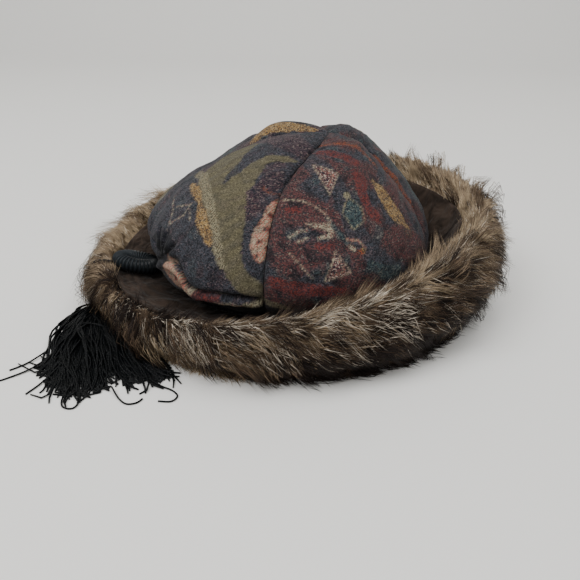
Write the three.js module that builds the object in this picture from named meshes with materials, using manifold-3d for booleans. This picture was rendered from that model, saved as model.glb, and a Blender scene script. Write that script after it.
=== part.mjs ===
// A soft hat: a four-gore tapestry crown, a fur brim with a cloth facing, a knot and a tassel.
// Millimetres, +Z up. +X is to the right and +Y to the back of someone who faces the hat
// with the tassel at their left. It lies as put down, its head opening on the surface.
import * as THREE from 'three';
import { mergeVertices } from 'three/addons/utils/BufferGeometryUtils.js';
import Module from 'manifold-3d';

const wasm = await Module();
wasm.setup();

// Sizes of the head opening and the crown
const headGirth = 580; // inside girth where the head goes in
const seamHeight = 18; // the seam of crown and brim stands on this much fur
const crownWall = 2; // tapestry with its interlining
const crownRise = 113; // from that seam to the top
const crownOverhang = 19; // how far the crown puffs out past its seam
const topLean = { x: 29, y: -3 }; // where the gores meet, from the opening's axis
const topPower = 7; // how late up the crown that lean comes in
const puffDepth = 6; // how far a seam sinks between two gores
const puffReach = 13; // how fast the cloth rises beside a seam
const seamGap = 0.3; // between neighbouring pieces
const weldReach = 0.01; // corners closer than this are one

// Sizes of the brim
const brimReach = 80; // fur, from the crown's seam to its fullest edge
const brimRise = 78; // the highest rim above the surface
const facingWall = 1.5; // plain cloth on the inner side of the brim
const facingGap = 1.4; // between the facing and the crown's seam
const facingFold = 2.6; // height of a soft fold in the facing
const facingElbow = { out: 0.72, up: 0.22 }; // where it turns up, from its seam to its edge
const tuftLength = 36; // a lock of hair that stands out of the fur
const tuftWidth = 15;
const tuftHeight = 7;
const tuftSink = 4.2; // how deep its edges start inside the fur

// Sizes of the knot, its cord and the tassel
const knotLength = 39; // along the brim's slope
const knotBreadth = 26;
const knotHeight = 11.5;
const knotRibs = 26; // turns of thread that show round the knot
const ribDepth = 0.7;
const knotSlit = 1.2; // half the width of its hole
const cordDiameter = 3;
const cordRoom = 0.6; // between the cord and the fur that it is pressed into
const threadBundle = 8.5; // width of a strand of the tassel
const tasselLength = 117; // its longest strand, from the neck
const tasselHeight = 11; // the tassel's thickness where it lies
const neckDiameter = 15;
const tasselRoom = 0.4; // between the tassel and the fur beside it
const fanEdge = 5; // how far the room for the tassel runs past a strand, in degrees

// Steps round and along the pieces
const brimSteps = 48;
const crownSteps = 12;
const facingSteps = 5;
const pileSteps = 6;
const knotSides = 6;
const cordSides = 8;
const cordSteps = 10;

const degrees = Math.PI / 180;
const headRadius = headGirth / (2 * Math.PI);
const seamRadius = headRadius + crownWall;

// The crown's side from its seam to the top: `hold` is the share of the seam's radius,
// `swell` the share of the overhang added to it, `rise` the share of the crown's height.
const crownRows = [
  { hold: 1.0, swell: 0.0, rise: 0.0 },
  { hold: 1.0, swell: 0.04, rise: 0.04 },
  { hold: 1.0, swell: 0.45, rise: 0.085 },
  { hold: 1.0, swell: 0.86, rise: 0.15 },
  { hold: 1.0, swell: 1.0, rise: 0.26 },
  { hold: 0.97, swell: 0.95, rise: 0.4 },
  { hold: 0.875, swell: 0.83, rise: 0.55 },
  { hold: 0.74, swell: 0.68, rise: 0.7 },
  { hold: 0.56, swell: 0.5, rise: 0.835 },
  { hold: 0.34, swell: 0.3, rise: 0.94 },
  { hold: 0.15, swell: 0.13, rise: 0.985 },
  { hold: 0.0, swell: 0.0, rise: 1.0 },
];

// The gores, by the bearings of their two seams, counted from +X towards +Y in degrees.
const gores = [
  { name: 'gore_front_left', from: 168, to: 262, steps: 22, colour: 0x4a4c55 },
  { name: 'gore_front_right', from: 262, to: 347, steps: 14, colour: 0x4b2c30 },
  { name: 'gore_back_right', from: -13, to: 85, steps: 12, colour: 0x5a3f2c },
  { name: 'gore_back_left', from: 85, to: 168, steps: 12, colour: 0x6b4a2a },
];

// Dents and gathers of the crown: `depth` is a share of the overhang, `spread` degrees to
// each side, `tall` the share of the crown's height that the dent covers up and down.
const crownDents = [
  { bearing: 165, rise: 0.78, spread: 42, tall: 0.3, depth: 0.36 },
  { bearing: 12, rise: 0.62, spread: 40, tall: 0.25, depth: 0.3 },
  { bearing: 196, rise: 0.1, spread: 13, tall: 0.13, depth: 0.62 },
  { bearing: 186, rise: 0.3, spread: 4, tall: 0.12, depth: 0.2 },
  { bearing: 197, rise: 0.32, spread: 4, tall: 0.14, depth: 0.26 },
  { bearing: 208, rise: 0.27, spread: 4, tall: 0.12, depth: 0.22 },
  { bearing: 150, rise: 0.1, spread: 9, tall: 0.1, depth: 0.2 },
  { bearing: 100, rise: 0.08, spread: 8, tall: 0.1, depth: 0.25 },
  { bearing: 40, rise: 0.1, spread: 9, tall: 0.1, depth: 0.25 },
  { bearing: 300, rise: 0.1, spread: 10, tall: 0.1, depth: 0.25 },
];

// The brim every 30 degrees from +X. Each pair is how far out and how far up: out past the
// crown's seam as a share of the brim's reach, up as a share of its rise. `edge` is where the
// facing ends, and `flow` turns the lie of the hair further along the rim, in degrees.
const brimRows = [
  { crest: [0.78, 0.93], edge: [0.56, 0.77], belly: [0.95, 0.51], foot: [0.66, 0], flow: [-10] },
  { crest: [0.79, 0.94], edge: [0.57, 0.76], belly: [0.95, 0.52], foot: [0.68, 0], flow: [-15] },
  { crest: [0.79, 0.9], edge: [0.57, 0.72], belly: [0.93, 0.5], foot: [0.66, 0], flow: [-15] },
  { crest: [0.77, 0.8], edge: [0.55, 0.64], belly: [0.9, 0.44], foot: [0.64, 0], flow: [-10] },
  { crest: [0.74, 0.64], edge: [0.52, 0.5], belly: [0.87, 0.35], foot: [0.63, 0], flow: [-15] },
  { crest: [0.7, 0.48], edge: [0.49, 0.38], belly: [0.84, 0.26], foot: [0.61, 0], flow: [-25] },
  { crest: [0.67, 0.41], edge: [0.5, 0.34], belly: [0.81, 0.21], foot: [0.6, 0], flow: [-30] },
  { crest: [0.69, 0.43], edge: [0.57, 0.38], belly: [0.77, 0.22], foot: [0.56, 0], flow: [-30] },
  { crest: [0.66, 0.51], edge: [0.55, 0.44], belly: [0.72, 0.25], foot: [0.53, 0], flow: [-15] },
  { crest: [0.55, 0.61], edge: [0.41, 0.53], belly: [0.68, 0.29], foot: [0.5, 0], flow: [0] },
  { crest: [0.53, 0.74], edge: [0.34, 0.65], belly: [0.71, 0.34], foot: [0.53, 0], flow: [10] },
  { crest: [0.63, 0.85], edge: [0.38, 0.73], belly: [0.84, 0.44], foot: [0.61, 0], flow: [5] },
];

// Soft folds across the facing: `turn` degrees per whole width is their slant.
const facingFolds = [
  { bearing: 211, spread: 4, turn: 8, height: 0.8 },
  { bearing: 224, spread: 5, turn: -12, height: 1.0 },
  { bearing: 236, spread: 5, turn: 14, height: 0.9 },
  { bearing: 250, spread: 5, turn: -10, height: 0.7 },
  { bearing: 165, spread: 7, turn: 8, height: 0.7 },
  { bearing: 15, spread: 7, turn: 12, height: 0.8 },
  { bearing: 345, spread: 6, turn: -8, height: 0.7 },
  { bearing: 75, spread: 8, turn: 10, height: 0.8 },
  { bearing: 120, spread: 8, turn: -10, height: 0.8 },
];

// Rows of tufts up the outside of the fur, from the foot (0) to the facing's edge (1): `flow`
// is the lie of the hair, from straight down (0) over along the rim (90) to the facing (180).
const tuftRows = [
  { along: 0.22, count: 26, flow: 30, length: 0.8, lift: 0.1 },
  { along: 0.48, count: 26, flow: 48, length: 1.0, lift: 0.17 },
  { along: 0.74, count: 28, flow: 74, length: 1.0, lift: 0.2 },
];

// The knot's seat on the facing, and the neck's on the surface, out past the crown's seam as a
// share of the brim's reach. Each strand lies along its `bearing` from the neck: `reach` and
// `bend`, how far it bows to its side, are shares of the tassel's length, `width` of a bundle's.
const knotSeat = { bearing: 196.5, along: 0.55, halfAlong: 0.25 };
const neckSeat = { bearing: 201.7, out: 0.745 };
const strands = [
  { bearing: 254, reach: 0.83, bend: -0.015, layer: 0, width: 0.3 },
  { bearing: 263, reach: 0.72, bend: -0.06, layer: 0, width: 1 },
  { bearing: 266, reach: 0.81, bend: -0.06, layer: 1, width: 1 },
  { bearing: 269, reach: 0.88, bend: -0.05, layer: 0, width: 1 },
  { bearing: 273, reach: 0.92, bend: -0.05, layer: 1, width: 1 },
  { bearing: 276, reach: 0.95, bend: -0.04, layer: 0, width: 1 },
  { bearing: 279, reach: 0.97, bend: -0.035, layer: 1, width: 1 },
  { bearing: 283, reach: 0.94, bend: -0.035, layer: 0, width: 1 },
  { bearing: 286, reach: 0.91, bend: -0.025, layer: 1, width: 1 },
  { bearing: 289, reach: 0.88, bend: -0.025, layer: 0, width: 1 },
  { bearing: 292, reach: 0.89, bend: -0.015, layer: 1, width: 1 },
  { bearing: 295, reach: 0.88, bend: -0.01, layer: 0, width: 1 },
  { bearing: 298, reach: 0.92, bend: 0, layer: 1, width: 1 },
  { bearing: 301, reach: 0.96, bend: 0, layer: 0, width: 1 },
  { bearing: 304, reach: 0.98, bend: 0.01, layer: 1, width: 1 },
  { bearing: 307, reach: 1, bend: 0.01, layer: 0, width: 0.9 },
  { bearing: 310, reach: 0.98, bend: 0, layer: 1, width: 0.8 },
  { bearing: 313, reach: 0.95, bend: -0.015, layer: 0, width: 0.6 },
];

// The cord's middle line, chosen by hand: out of the knot, over the rim, down to the neck.
const cordPoints = [
  [-133.1, -41.5, 33.9],
  [-138.0, -43.0, 35.6],
  [-142.5, -44.5, 36.0],
  [-146.5, -46.0, 34.5],
  [-149.5, -48.0, 30.5],
  [-151.0, -50.0, 25.5],
  [-151.0, -52.0, 20.5],
  [-149.0, -53.8, 15.0],
  [-145.7, -55.7, 10.2],
];

// The two sections of a tuft before its point: `t` along it, `width` a share of the tuft's own,
// `edge` how far its edges are sunk, `ridge` its height and `raised` its share of the lift.
const tuftSections = [
  { t: 0, width: 0.8, edge: 1, ridge: 0.1, raised: 0 },
  { t: 0.35, width: 1, edge: 0.8, ridge: 0.6, raised: 0.25 },
];

// The sections of a strand of the tassel, as shares of a bundle's width and the tassel's height.
const strandSections = [
  { t: 0, width: 0.5, height: 0.62 },
  { t: 0.35, width: 0.9, height: 0.9 },
  { t: 0.72, width: 1.1, height: 0.62 },
  { t: 1, width: 0.5, height: 0.3 },
];

// The bound neck of the tassel, as shares of its diameter and of the tassel's height.
const neckForm = { length: 0.85, height: 0.85, middle: 0.45 };

const neckPoint = polar(seamRadius + neckSeat.out * brimReach, neckSeat.bearing, 0);

// Smooth value between equal steps of a list, which closes on itself if `closed`.
function smoothAt(values, position, closed) {
  const count = values.length;
  const start = Math.floor(position);
  const pick = (index) =>
    closed
      ? values[((index % count) + count) % count]
      : values[Math.min(Math.max(index, 0), count - 1)];
  const [a, b, c, d] = [-1, 0, 1, 2].map((step) => pick(start + step));
  const t = position - start;
  const slopeB = (c - a) / 2;
  const slopeC = (d - b) / 2;
  const rise = c - b;
  return b + t * (slopeB + t * (3 * rise - 2 * slopeB - slopeC + t * (slopeB + slopeC - 2 * rise)));
}

// Bell-shaped share of a dent or fold, 1 in its middle.
function bell(distance, spread) {
  return Math.exp(-((distance / spread) ** 2));
}

function turnBetween(a, b) {
  return ((((a - b) % 360) + 540) % 360) - 180;
}

// A repeatable spread of values from 0 to 1 for the unevenness of tufts and strands.
function scatter(index, salt) {
  const golden = 0.6180339887;
  return (index * golden + salt * Math.SQRT2) % 1;
}

function polar(radius, bearing, height) {
  const angle = bearing * degrees;
  return new THREE.Vector3(radius * Math.cos(angle), radius * Math.sin(angle), height);
}

// A closed body between two grids of points, `outer[row][column]` facing out.
// A ring joins its last column to its first.
function shell(outer, inner, ring) {
  const rows = outer.length;
  const columns = outer[0].length;
  const points = [...outer.flat(), ...inner.flat()];
  const innerStart = rows * columns;
  const at = (row, column) => row * columns + (column % columns);
  const faces = [];
  const quad = (a, b, c, d) => faces.push(a, b, c, a, c, d);
  const lastColumn = ring ? columns : columns - 1;
  for (let row = 0; row < rows - 1; row += 1) {
    for (let column = 0; column < lastColumn; column += 1) {
      const corners = [
        at(row, column),
        at(row, column + 1),
        at(row + 1, column + 1),
        at(row + 1, column),
      ];
      quad(...corners);
      quad(...corners.reverse().map((index) => index + innerStart));
    }
  }
  for (let column = 0; column < lastColumn; column += 1) {
    const [first, second] = [at(0, column), at(0, column + 1)];
    const [third, fourth] = [at(rows - 1, column), at(rows - 1, column + 1)];
    quad(second, first, first + innerStart, second + innerStart);
    quad(third, fourth, fourth + innerStart, third + innerStart);
  }
  if (!ring) {
    for (let row = 0; row < rows - 1; row += 1) {
      const [first, second] = [at(row, 0), at(row + 1, 0)];
      const [third, fourth] = [at(row, columns - 1), at(row + 1, columns - 1)];
      quad(first, second, second + innerStart, first + innerStart);
      quad(fourth, third, third + innerStart, fourth + innerStart);
    }
  }
  return meshOf(points, faces);
}

// Joins equal corners and drops the faces that this leaves without area.
function meshOf(points, faces) {
  const geometry = new THREE.BufferGeometry();
  const values = points.flatMap((point) => point.toArray());
  geometry.setAttribute('position', new THREE.Float32BufferAttribute(values, 3));
  geometry.setIndex(faces);
  const merged = mergeVertices(geometry, weldReach);
  const kept = [];
  for (let i = 0; i < merged.index.count; i += 3) {
    const face = [0, 1, 2].map((corner) => merged.index.getX(i + corner));
    if (new Set(face).size === 3) kept.push(...face);
  }
  merged.setIndex(kept);
  return merged;
}

function toSolid(geometry) {
  return new wasm.Manifold(
    new wasm.Mesh({
      numProp: 3,
      vertProperties: geometry.getAttribute('position').array,
      triVerts: new Uint32Array(geometry.index.array),
    }),
  );
}

function toGeometry(solid) {
  const mesh = solid.getMesh();
  const geometry = new THREE.BufferGeometry();
  geometry.setAttribute('position', new THREE.BufferAttribute(mesh.vertProperties, 3));
  geometry.setIndex(new THREE.BufferAttribute(mesh.triVerts, 1));
  return geometry;
}

function toMesh(name, geometry, colour, roughness) {
  geometry.computeVertexNormals();
  const material = new THREE.MeshStandardMaterial({ color: colour, roughness, metalness: 0 });
  const mesh = new THREE.Mesh(geometry, material);
  mesh.name = name;
  return mesh;
}

// The crown's side without its puffs, at `along` from its seam (0) to the top (1).
function crownSide(along) {
  const position = along * (crownRows.length - 1);
  const column = (key) => smoothAt(crownRows.map((row) => row[key]), position, false);
  const radius = Math.max(seamRadius * column('hold') + crownOverhang * column('swell'), 0);
  return { radius, rise: column('rise') };
}

// How far the crown's middle has moved off the opening's axis at a share of its height.
function leanAt(rise) {
  return rise ** topPower;
}

// A point of the crown's outer face, and of its inner face when `inset` is its wall.
function crownPoint(gore, bearing, along, inset) {
  const nudge = 0.01;
  const { radius, rise } = crownSide(along);
  const before = crownSide(Math.max(along - nudge, 0));
  const after = crownSide(Math.min(along + nudge, 1));
  const run = new THREE.Vector2(after.radius - before.radius, (after.rise - before.rise) * crownRise);
  const facing = new THREE.Vector2(run.y, -run.x).normalize();
  const seamTurn = Math.min(Math.abs(bearing - gore.from), Math.abs(gore.to - bearing));
  const fromSeam = radius * seamTurn * degrees;
  const { smoothstep } = THREE.MathUtils;
  let sunk = puffDepth * smoothstep(rise, 0.01, 0.2) * Math.exp(-fromSeam / puffReach);
  const dented = smoothstep(rise, 0, 0.06) * (1 - smoothstep(rise, 0.88, 1));
  for (const dent of crownDents) {
    const around = bell(turnBetween(bearing, dent.bearing), dent.spread);
    sunk += crownOverhang * dent.depth * around * bell(rise - dent.rise, dent.tall) * dented;
  }
  const least = seamGap / 2 / Math.sin(((gore.to - gore.from) / 2) * degrees);
  const out = Math.max(radius - facing.x * (sunk + inset), least);
  const turned = clampToSeams(gore, bearing, out);
  const point = polar(out, turned, seamHeight + seamGap + rise * crownRise - facing.y * (sunk + inset));
  const lean = leanAt(rise);
  return point.add(new THREE.Vector3(topLean.x * lean, topLean.y * lean, 0));
}

// Keeps a point half a gap inside both seams of its gore.
function clampToSeams(gore, bearing, radius) {
  const middle = (gore.from + gore.to) / 2;
  const half = (gore.to - gore.from) / 2;
  const margin = Math.asin(Math.min(seamGap / 2 / radius, Math.sin(half * degrees))) / degrees;
  return middle + THREE.MathUtils.clamp(bearing - middle, margin - half, half - margin);
}

function makeGore(gore) {
  const grid = (inset) =>
    Array.from({ length: crownSteps + 1 }, (_, row) =>
      Array.from({ length: gore.steps + 1 }, (__, column) => {
        const bearing = THREE.MathUtils.lerp(gore.from, gore.to, column / gore.steps);
        return crownPoint(gore, bearing, row / crownSteps, inset);
      }),
    );
  return toMesh(gore.name, shell(grid(0), grid(crownWall), false), gore.colour, 0.85);
}

// The brim's own sizes at a bearing, from its table.
function brimAt(bearing) {
  const position = ((((bearing % 360) + 360) % 360) / 360) * brimRows.length;
  const share = (name, index) => smoothAt(brimRows.map((row) => row[name][index]), position, true);
  const place = (name) =>
    new THREE.Vector2(seamRadius + share(name, 0) * brimReach, Math.max(share(name, 1), 0) * brimRise);
  return {
    crest: place('crest'),
    edge: place('edge'),
    belly: place('belly'),
    foot: place('foot'),
    flow: share('flow', 0),
  };
}

// The inner side of the brim that the facing lies on, from the crown's seam (0) to its edge (1).
function facingPoint(bearing, along, raised) {
  const { edge } = brimAt(bearing);
  const start = new THREE.Vector2(seamRadius + facingGap, seamHeight);
  const elbow = new THREE.Vector2(
    THREE.MathUtils.lerp(start.x, edge.x, facingElbow.out),
    THREE.MathUtils.lerp(start.y, edge.y, facingElbow.up),
  );
  const curve = new THREE.QuadraticBezierCurve(start, elbow, edge);
  const spot = curve.getPoint(along);
  const run = curve.getTangent(along);
  let lift = raised;
  for (const fold of facingFolds) {
    const turn = turnBetween(bearing, fold.bearing + fold.turn * (along - 0.5));
    lift += facingFold * fold.height * bell(turn, fold.spread) * Math.sin(Math.PI * along);
  }
  return polar(spot.x - run.y * lift, bearing, spot.y + run.x * lift);
}

function facingGrid(raised) {
  return Array.from({ length: facingSteps + 1 }, (_, row) =>
    Array.from({ length: brimSteps }, (__, column) =>
      facingPoint((column / brimSteps) * 360, row / facingSteps, raised),
    ),
  );
}

function makeFacing() {
  const lower = facingGrid(seamGap);
  const upper = facingGrid(seamGap + facingWall);
  return toMesh('brim_facing', shell(lower, upper, true), 0x3a302b, 0.9);
}

// The fur's outside at a bearing, from its foot (0) over belly and crest to the facing's edge (1).
function pileCurve(bearing) {
  const { foot, belly, crest, edge } = brimAt(bearing);
  const corners = [foot, belly, crest, edge].map((spot) => polar(spot.x, bearing, spot.y));
  return new THREE.CatmullRomCurve3(corners, false, 'centripetal');
}

// The pelt and its dense underfur: one ring whose section runs round the opening's edge,
// along the surface, up the outside and back under the facing.
function furBody() {
  const outer = [];
  for (let row = 0; row <= pileSteps; row += 1) {
    outer.push(Array.from({ length: brimSteps }, (_, column) => {
      const point = pileCurve((column / brimSteps) * 360).getPoint(row / pileSteps);
      return point.setZ(Math.max(point.z, 0));
    }));
  }
  const flat = (radius, height) =>
    Array.from({ length: brimSteps }, (_, column) => polar(radius, (column / brimSteps) * 360, height));
  const under = facingGrid(0).reverse().slice(1);
  const section = [...outer, ...under, flat(headRadius, seamHeight), flat(headRadius, 0)];
  const points = section.flat();
  const faces = [];
  section.forEach((_, row) => {
    const next = (row + 1) % section.length;
    for (let column = 0; column < brimSteps; column += 1) {
      const right = (column + 1) % brimSteps;
      const [a, b] = [row * brimSteps + column, row * brimSteps + right];
      const [c, d] = [next * brimSteps + right, next * brimSteps + column];
      faces.push(a, b, d, b, c, d);
    }
  });
  return toSolid(meshOf(points, faces));
}

// A point of the fur's outside. Below the foot it runs on along the surface, and past the
// facing's edge it runs on the way the fur was heading.
function pilePoint(bearing, along) {
  const curve = pileCurve(bearing);
  const beyond = curve.getLength() * Math.max(-along, along - 1, 0);
  const point = curve.getPoint(THREE.MathUtils.clamp(along, 0, 1));
  if (along < 0) return point.add(polar(beyond, bearing, 0));
  return point.addScaledVector(curve.getTangent(1), beyond);
}

// One tuft: a three-sided lock that starts inside the underfur, follows its outside and
// ends in a point that stands off it.
function tuft(row, index) {
  const bearing = ((index + 0.6 * scatter(index, row.along)) / row.count) * 360;
  const along = row.along + 0.07 * (scatter(index, 3) - 0.5);
  const length = tuftLength * row.length * (0.8 + 0.4 * scatter(index, 7));
  const flow = (row.flow + brimAt(bearing).flow + 24 * (scatter(index, 5) - 0.5)) * degrees;
  const curve = pileCurve(bearing);
  const root = curve.getPoint(along);
  const climb = (-length * Math.cos(flow)) / curve.getLength();
  const turn = (length * Math.sin(flow)) / Math.hypot(root.x, root.y) / degrees;
  const round = polar(1, bearing + 90, 0);
  const normal = new THREE.Vector3().crossVectors(round, curve.getTangent(along)).normalize();
  const middleAt = (t) => pilePoint(bearing + turn * t, along + climb * t);
  const side = new THREE.Vector3().crossVectors(normal, middleAt(0.5).sub(root)).normalize();
  const lift = length * row.lift;
  const points = tuftSections.flatMap(({ t, width, edge, ridge, raised }) => {
    const corner = (across, height) =>
      middleAt(t)
        .addScaledVector(side, across * tuftWidth * width)
        .addScaledVector(normal, height + lift * raised);
    return [
      corner(0.5, -tuftSink * edge),
      corner(0, tuftHeight * ridge),
      corner(-0.5, -tuftSink * edge),
    ];
  });
  points.push(middleAt(1).addScaledVector(normal, lift));
  points.forEach((point) => point.setZ(Math.max(point.z, 0)));
  const faces = [0, 2, 1];
  for (let corner = 0; corner < 3; corner += 1) {
    const next = (corner + 1) % 3;
    faces.push(corner, next + 3, corner + 3, corner, next, next + 3);
    faces.push(corner + 3, next + 3, 6);
  }
  return toSolid(meshOf(points, faces));
}

// The main body alone, without crumbs cut off it and without pockets closed in between tufts.
function largestPiece(solid) {
  return solid.decompose().reduce((best, piece) => (piece.volume() > best.volume() ? piece : best));
}

function makeFur(cutters) {
  let fur = furBody();
  for (const row of tuftRows) {
    for (let index = 0; index < row.count; index += 1) fur = fur.add(tuft(row, index));
  }
  for (const cutter of cutters) fur = fur.subtract(cutter);
  return toMesh('fur_brim', toGeometry(largestPiece(fur)), 0x6b523c, 1);
}

// The knot: an oval ring of wound thread, its hole closed to a slit, ribbed by its turns.
function knotAt() {
  const seat = facingPoint(knotSeat.bearing, knotSeat.along, 0);
  const ahead = facingPoint(knotSeat.bearing, knotSeat.along + 0.2, 0).sub(seat).normalize();
  const round = polar(1, knotSeat.bearing + 90, 0);
  const normal = new THREE.Vector3().crossVectors(ahead, round).normalize();
  if (normal.z < 0) normal.negate();
  // The cloth is hollow here, so the knot rests near its two ends.
  const rests = [-1, 1].map((end) => {
    const spot = facingPoint(knotSeat.bearing, knotSeat.along + end * knotSeat.halfAlong, 0);
    return spot.sub(seat).dot(normal);
  });
  seat.addScaledVector(normal, Math.max(0, ...rests) + facingWall + 3 * seamGap + knotHeight / 2);
  return { seat, ahead, round, normal };
}

function makeKnot() {
  const { seat, ahead, round, normal } = knotAt();
  const around = knotRibs * 2;
  const { lerp } = THREE.MathUtils;
  const points = [];
  for (let step = 0; step < around; step += 1) {
    const angle = (step / around) * 2 * Math.PI;
    const rib = step % 2 === 0 ? 0 : ribDepth;
    for (let corner = 0; corner < knotSides; corner += 1) {
      const turn = (corner / knotSides) * 2 * Math.PI;
      const outward = (1 + Math.cos(turn)) / 2;
      const reachX = lerp((knotLength - knotBreadth) / 2 + knotSlit, knotLength / 2 - rib, outward);
      const reachY = lerp(knotSlit, knotBreadth / 2 - rib, outward);
      points.push(
        seat.clone()
          .addScaledVector(ahead, reachX * Math.cos(angle))
          .addScaledVector(round, reachY * Math.sin(angle))
          .addScaledVector(normal, (knotHeight / 2 - rib) * Math.sin(turn)),
      );
    }
  }
  const faces = [];
  for (let step = 0; step < around; step += 1) {
    for (let corner = 0; corner < knotSides; corner += 1) {
      const next = (step + 1) % around;
      const beside = (corner + 1) % knotSides;
      const [a, b] = [step * knotSides + corner, step * knotSides + beside];
      const [c, d] = [next * knotSides + beside, next * knotSides + corner];
      faces.push(a, d, c, a, c, b);
    }
  }
  return toMesh('knot', meshOf(points, faces), 0x15161a, 0.6);
}

// A tube of the cord's own thickness, or fatter where it is the room kept for it.
function cordTube(extra) {
  const path = new THREE.CatmullRomCurve3(cordPoints.map((point) => new THREE.Vector3(...point)));
  const radius = cordDiameter / 2 + extra;
  const section = new THREE.Shape(
    Array.from({ length: cordSides }, (_, side) => {
      const angle = (side / cordSides) * 2 * Math.PI;
      return new THREE.Vector2(radius * Math.cos(angle), radius * Math.sin(angle));
    }),
  );
  const along = { steps: cordSteps, extrudePath: path, bevelEnabled: false };
  return bare(new THREE.ExtrudeGeometry(section, along));
}

// One strand of the tassel, from the neck out to its own tip, lying on the surface.
function strandSolid(strand) {
  const ahead = polar(1, strand.bearing, 0);
  const side = polar(1, strand.bearing + 90, 0);
  const points = strandSections.flatMap(({ t, width, height }) => {
    const middle = neckPoint
      .clone()
      .addScaledVector(ahead, tasselLength * strand.reach * t)
      .addScaledVector(side, tasselLength * strand.bend * 4 * t * (1 - t));
    const half = (threadBundle * width * strand.width) / 2;
    const base = strand.layer * tasselHeight * 0.25 * (1 - t);
    const top = tasselHeight * height * (0.8 + 0.2 * strand.layer);
    return [
      middle.clone().addScaledVector(side, -half).setZ(base),
      middle.clone().addScaledVector(side, half).setZ(base),
      middle.clone().addScaledVector(side, half * 0.6).setZ(top),
      middle.clone().addScaledVector(side, -half * 0.6).setZ(top),
    ];
  });
  const faces = [0, 2, 1, 0, 3, 2];
  for (let step = 0; step < strandSections.length - 1; step += 1) {
    for (let corner = 0; corner < 4; corner += 1) {
      const [a, b] = [step * 4 + corner, step * 4 + ((corner + 1) % 4)];
      faces.push(a, b, b + 4, a, b + 4, a + 4);
    }
  }
  const last = (strandSections.length - 1) * 4;
  faces.push(last, last + 1, last + 2, last, last + 2, last + 3);
  return toSolid(meshOf(points, faces));
}

// The bound neck that the strands come out of.
function neckSolid() {
  const ball = new THREE.SphereGeometry(neckDiameter / 2, 12, 8);
  ball.scale(neckForm.length, 1, (tasselHeight / neckDiameter) * neckForm.height);
  ball.translate(neckPoint.x, neckPoint.y, tasselHeight * neckForm.middle);
  return toSolid(bare(ball));
}

function tasselSolid() {
  let tassel = neckSolid();
  for (const strand of strands) tassel = tassel.add(strandSolid(strand));
  return tassel;
}

// The room that the lying tassel has pressed into the fur: its own fan, a little wider.
function fanRoom() {
  const back = neckDiameter / 2 + tasselRoom;
  const beside = (length, bearing) => {
    const spot = polar(length + back, bearing, 0).add(neckPoint);
    return new THREE.Vector2(spot.x, spot.y);
  };
  const tip = ({ reach, bearing }, turn) => beside(tasselLength * reach, bearing + turn);
  const behind = [20, 70, 120, 170].map((bearing) => beside(0, bearing));
  const tips = strands.map((strand) => tip(strand, -fanEdge));
  const outline = [...behind, ...tips, tip(strands[strands.length - 1], fanEdge)];
  const depth = tasselHeight + 2 * tasselRoom;
  const fan = new THREE.ExtrudeGeometry(new THREE.Shape(outline), { depth, bevelEnabled: false });
  fan.translate(0, 0, -tasselRoom);
  return toSolid(bare(fan));
}

// A library shape as corners and faces alone, equal corners joined.
function bare(geometry) {
  geometry.deleteAttribute('normal');
  geometry.deleteAttribute('uv');
  const merged = mergeVertices(geometry, weldReach);
  const corners = merged.getAttribute('position');
  const points = Array.from({ length: corners.count }, (_, index) =>
    new THREE.Vector3().fromBufferAttribute(corners, index),
  );
  return meshOf(points, Array.from(merged.index.array));
}

const hat = new THREE.Group();
hat.name = 'hat';
for (const gore of gores) hat.add(makeGore(gore));
hat.add(makeFacing());
hat.add(makeFur([fanRoom(), toSolid(cordTube(cordRoom))]));
hat.add(makeKnot());
hat.add(toMesh('tassel', toGeometry(tasselSolid()), 0x0c0c0e, 0.55));

// The frame's origin is on the surface, under the middle of everything but the loose cord.
const extent = new THREE.Box3().setFromObject(hat);
const middle = extent.getCenter(new THREE.Vector3());
hat.position.set(-middle.x, -middle.y, -extent.min.z);
hat.add(toMesh('tassel_cord', cordTube(0), 0x101012, 0.6));

const part = new THREE.Group();
part.add(hat);

export default part;
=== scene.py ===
# A soft hat dressed for its picture: a tapestry crown of four gores, a cloth facing, a long-haired
# fur brim, a wound knot and a tassel of loose threads. Metres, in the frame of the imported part:
# +Z up, +X to the right, +Y away from someone who has the tassel in front at their left.
import math

import bpy
import numpy as np
from mathutils import Matrix, Vector


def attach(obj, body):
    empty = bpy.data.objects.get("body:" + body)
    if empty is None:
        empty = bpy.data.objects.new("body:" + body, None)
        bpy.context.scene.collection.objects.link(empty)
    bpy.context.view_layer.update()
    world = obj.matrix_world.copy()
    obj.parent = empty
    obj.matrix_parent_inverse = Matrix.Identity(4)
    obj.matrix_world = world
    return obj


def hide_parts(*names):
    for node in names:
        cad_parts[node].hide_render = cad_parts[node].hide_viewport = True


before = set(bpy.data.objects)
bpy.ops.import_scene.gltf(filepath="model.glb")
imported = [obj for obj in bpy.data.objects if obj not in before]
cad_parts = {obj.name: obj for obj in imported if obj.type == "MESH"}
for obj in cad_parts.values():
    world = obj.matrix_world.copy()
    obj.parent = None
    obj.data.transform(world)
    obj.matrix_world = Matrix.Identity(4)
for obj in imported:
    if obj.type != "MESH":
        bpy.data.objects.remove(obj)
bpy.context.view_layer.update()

MM = 0.001
BODY = "root"


def table(keys, *rows):
    """Rows of values, each as a dictionary by the names in keys."""
    return [dict(zip(keys.split(), row)) for row in rows]


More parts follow.
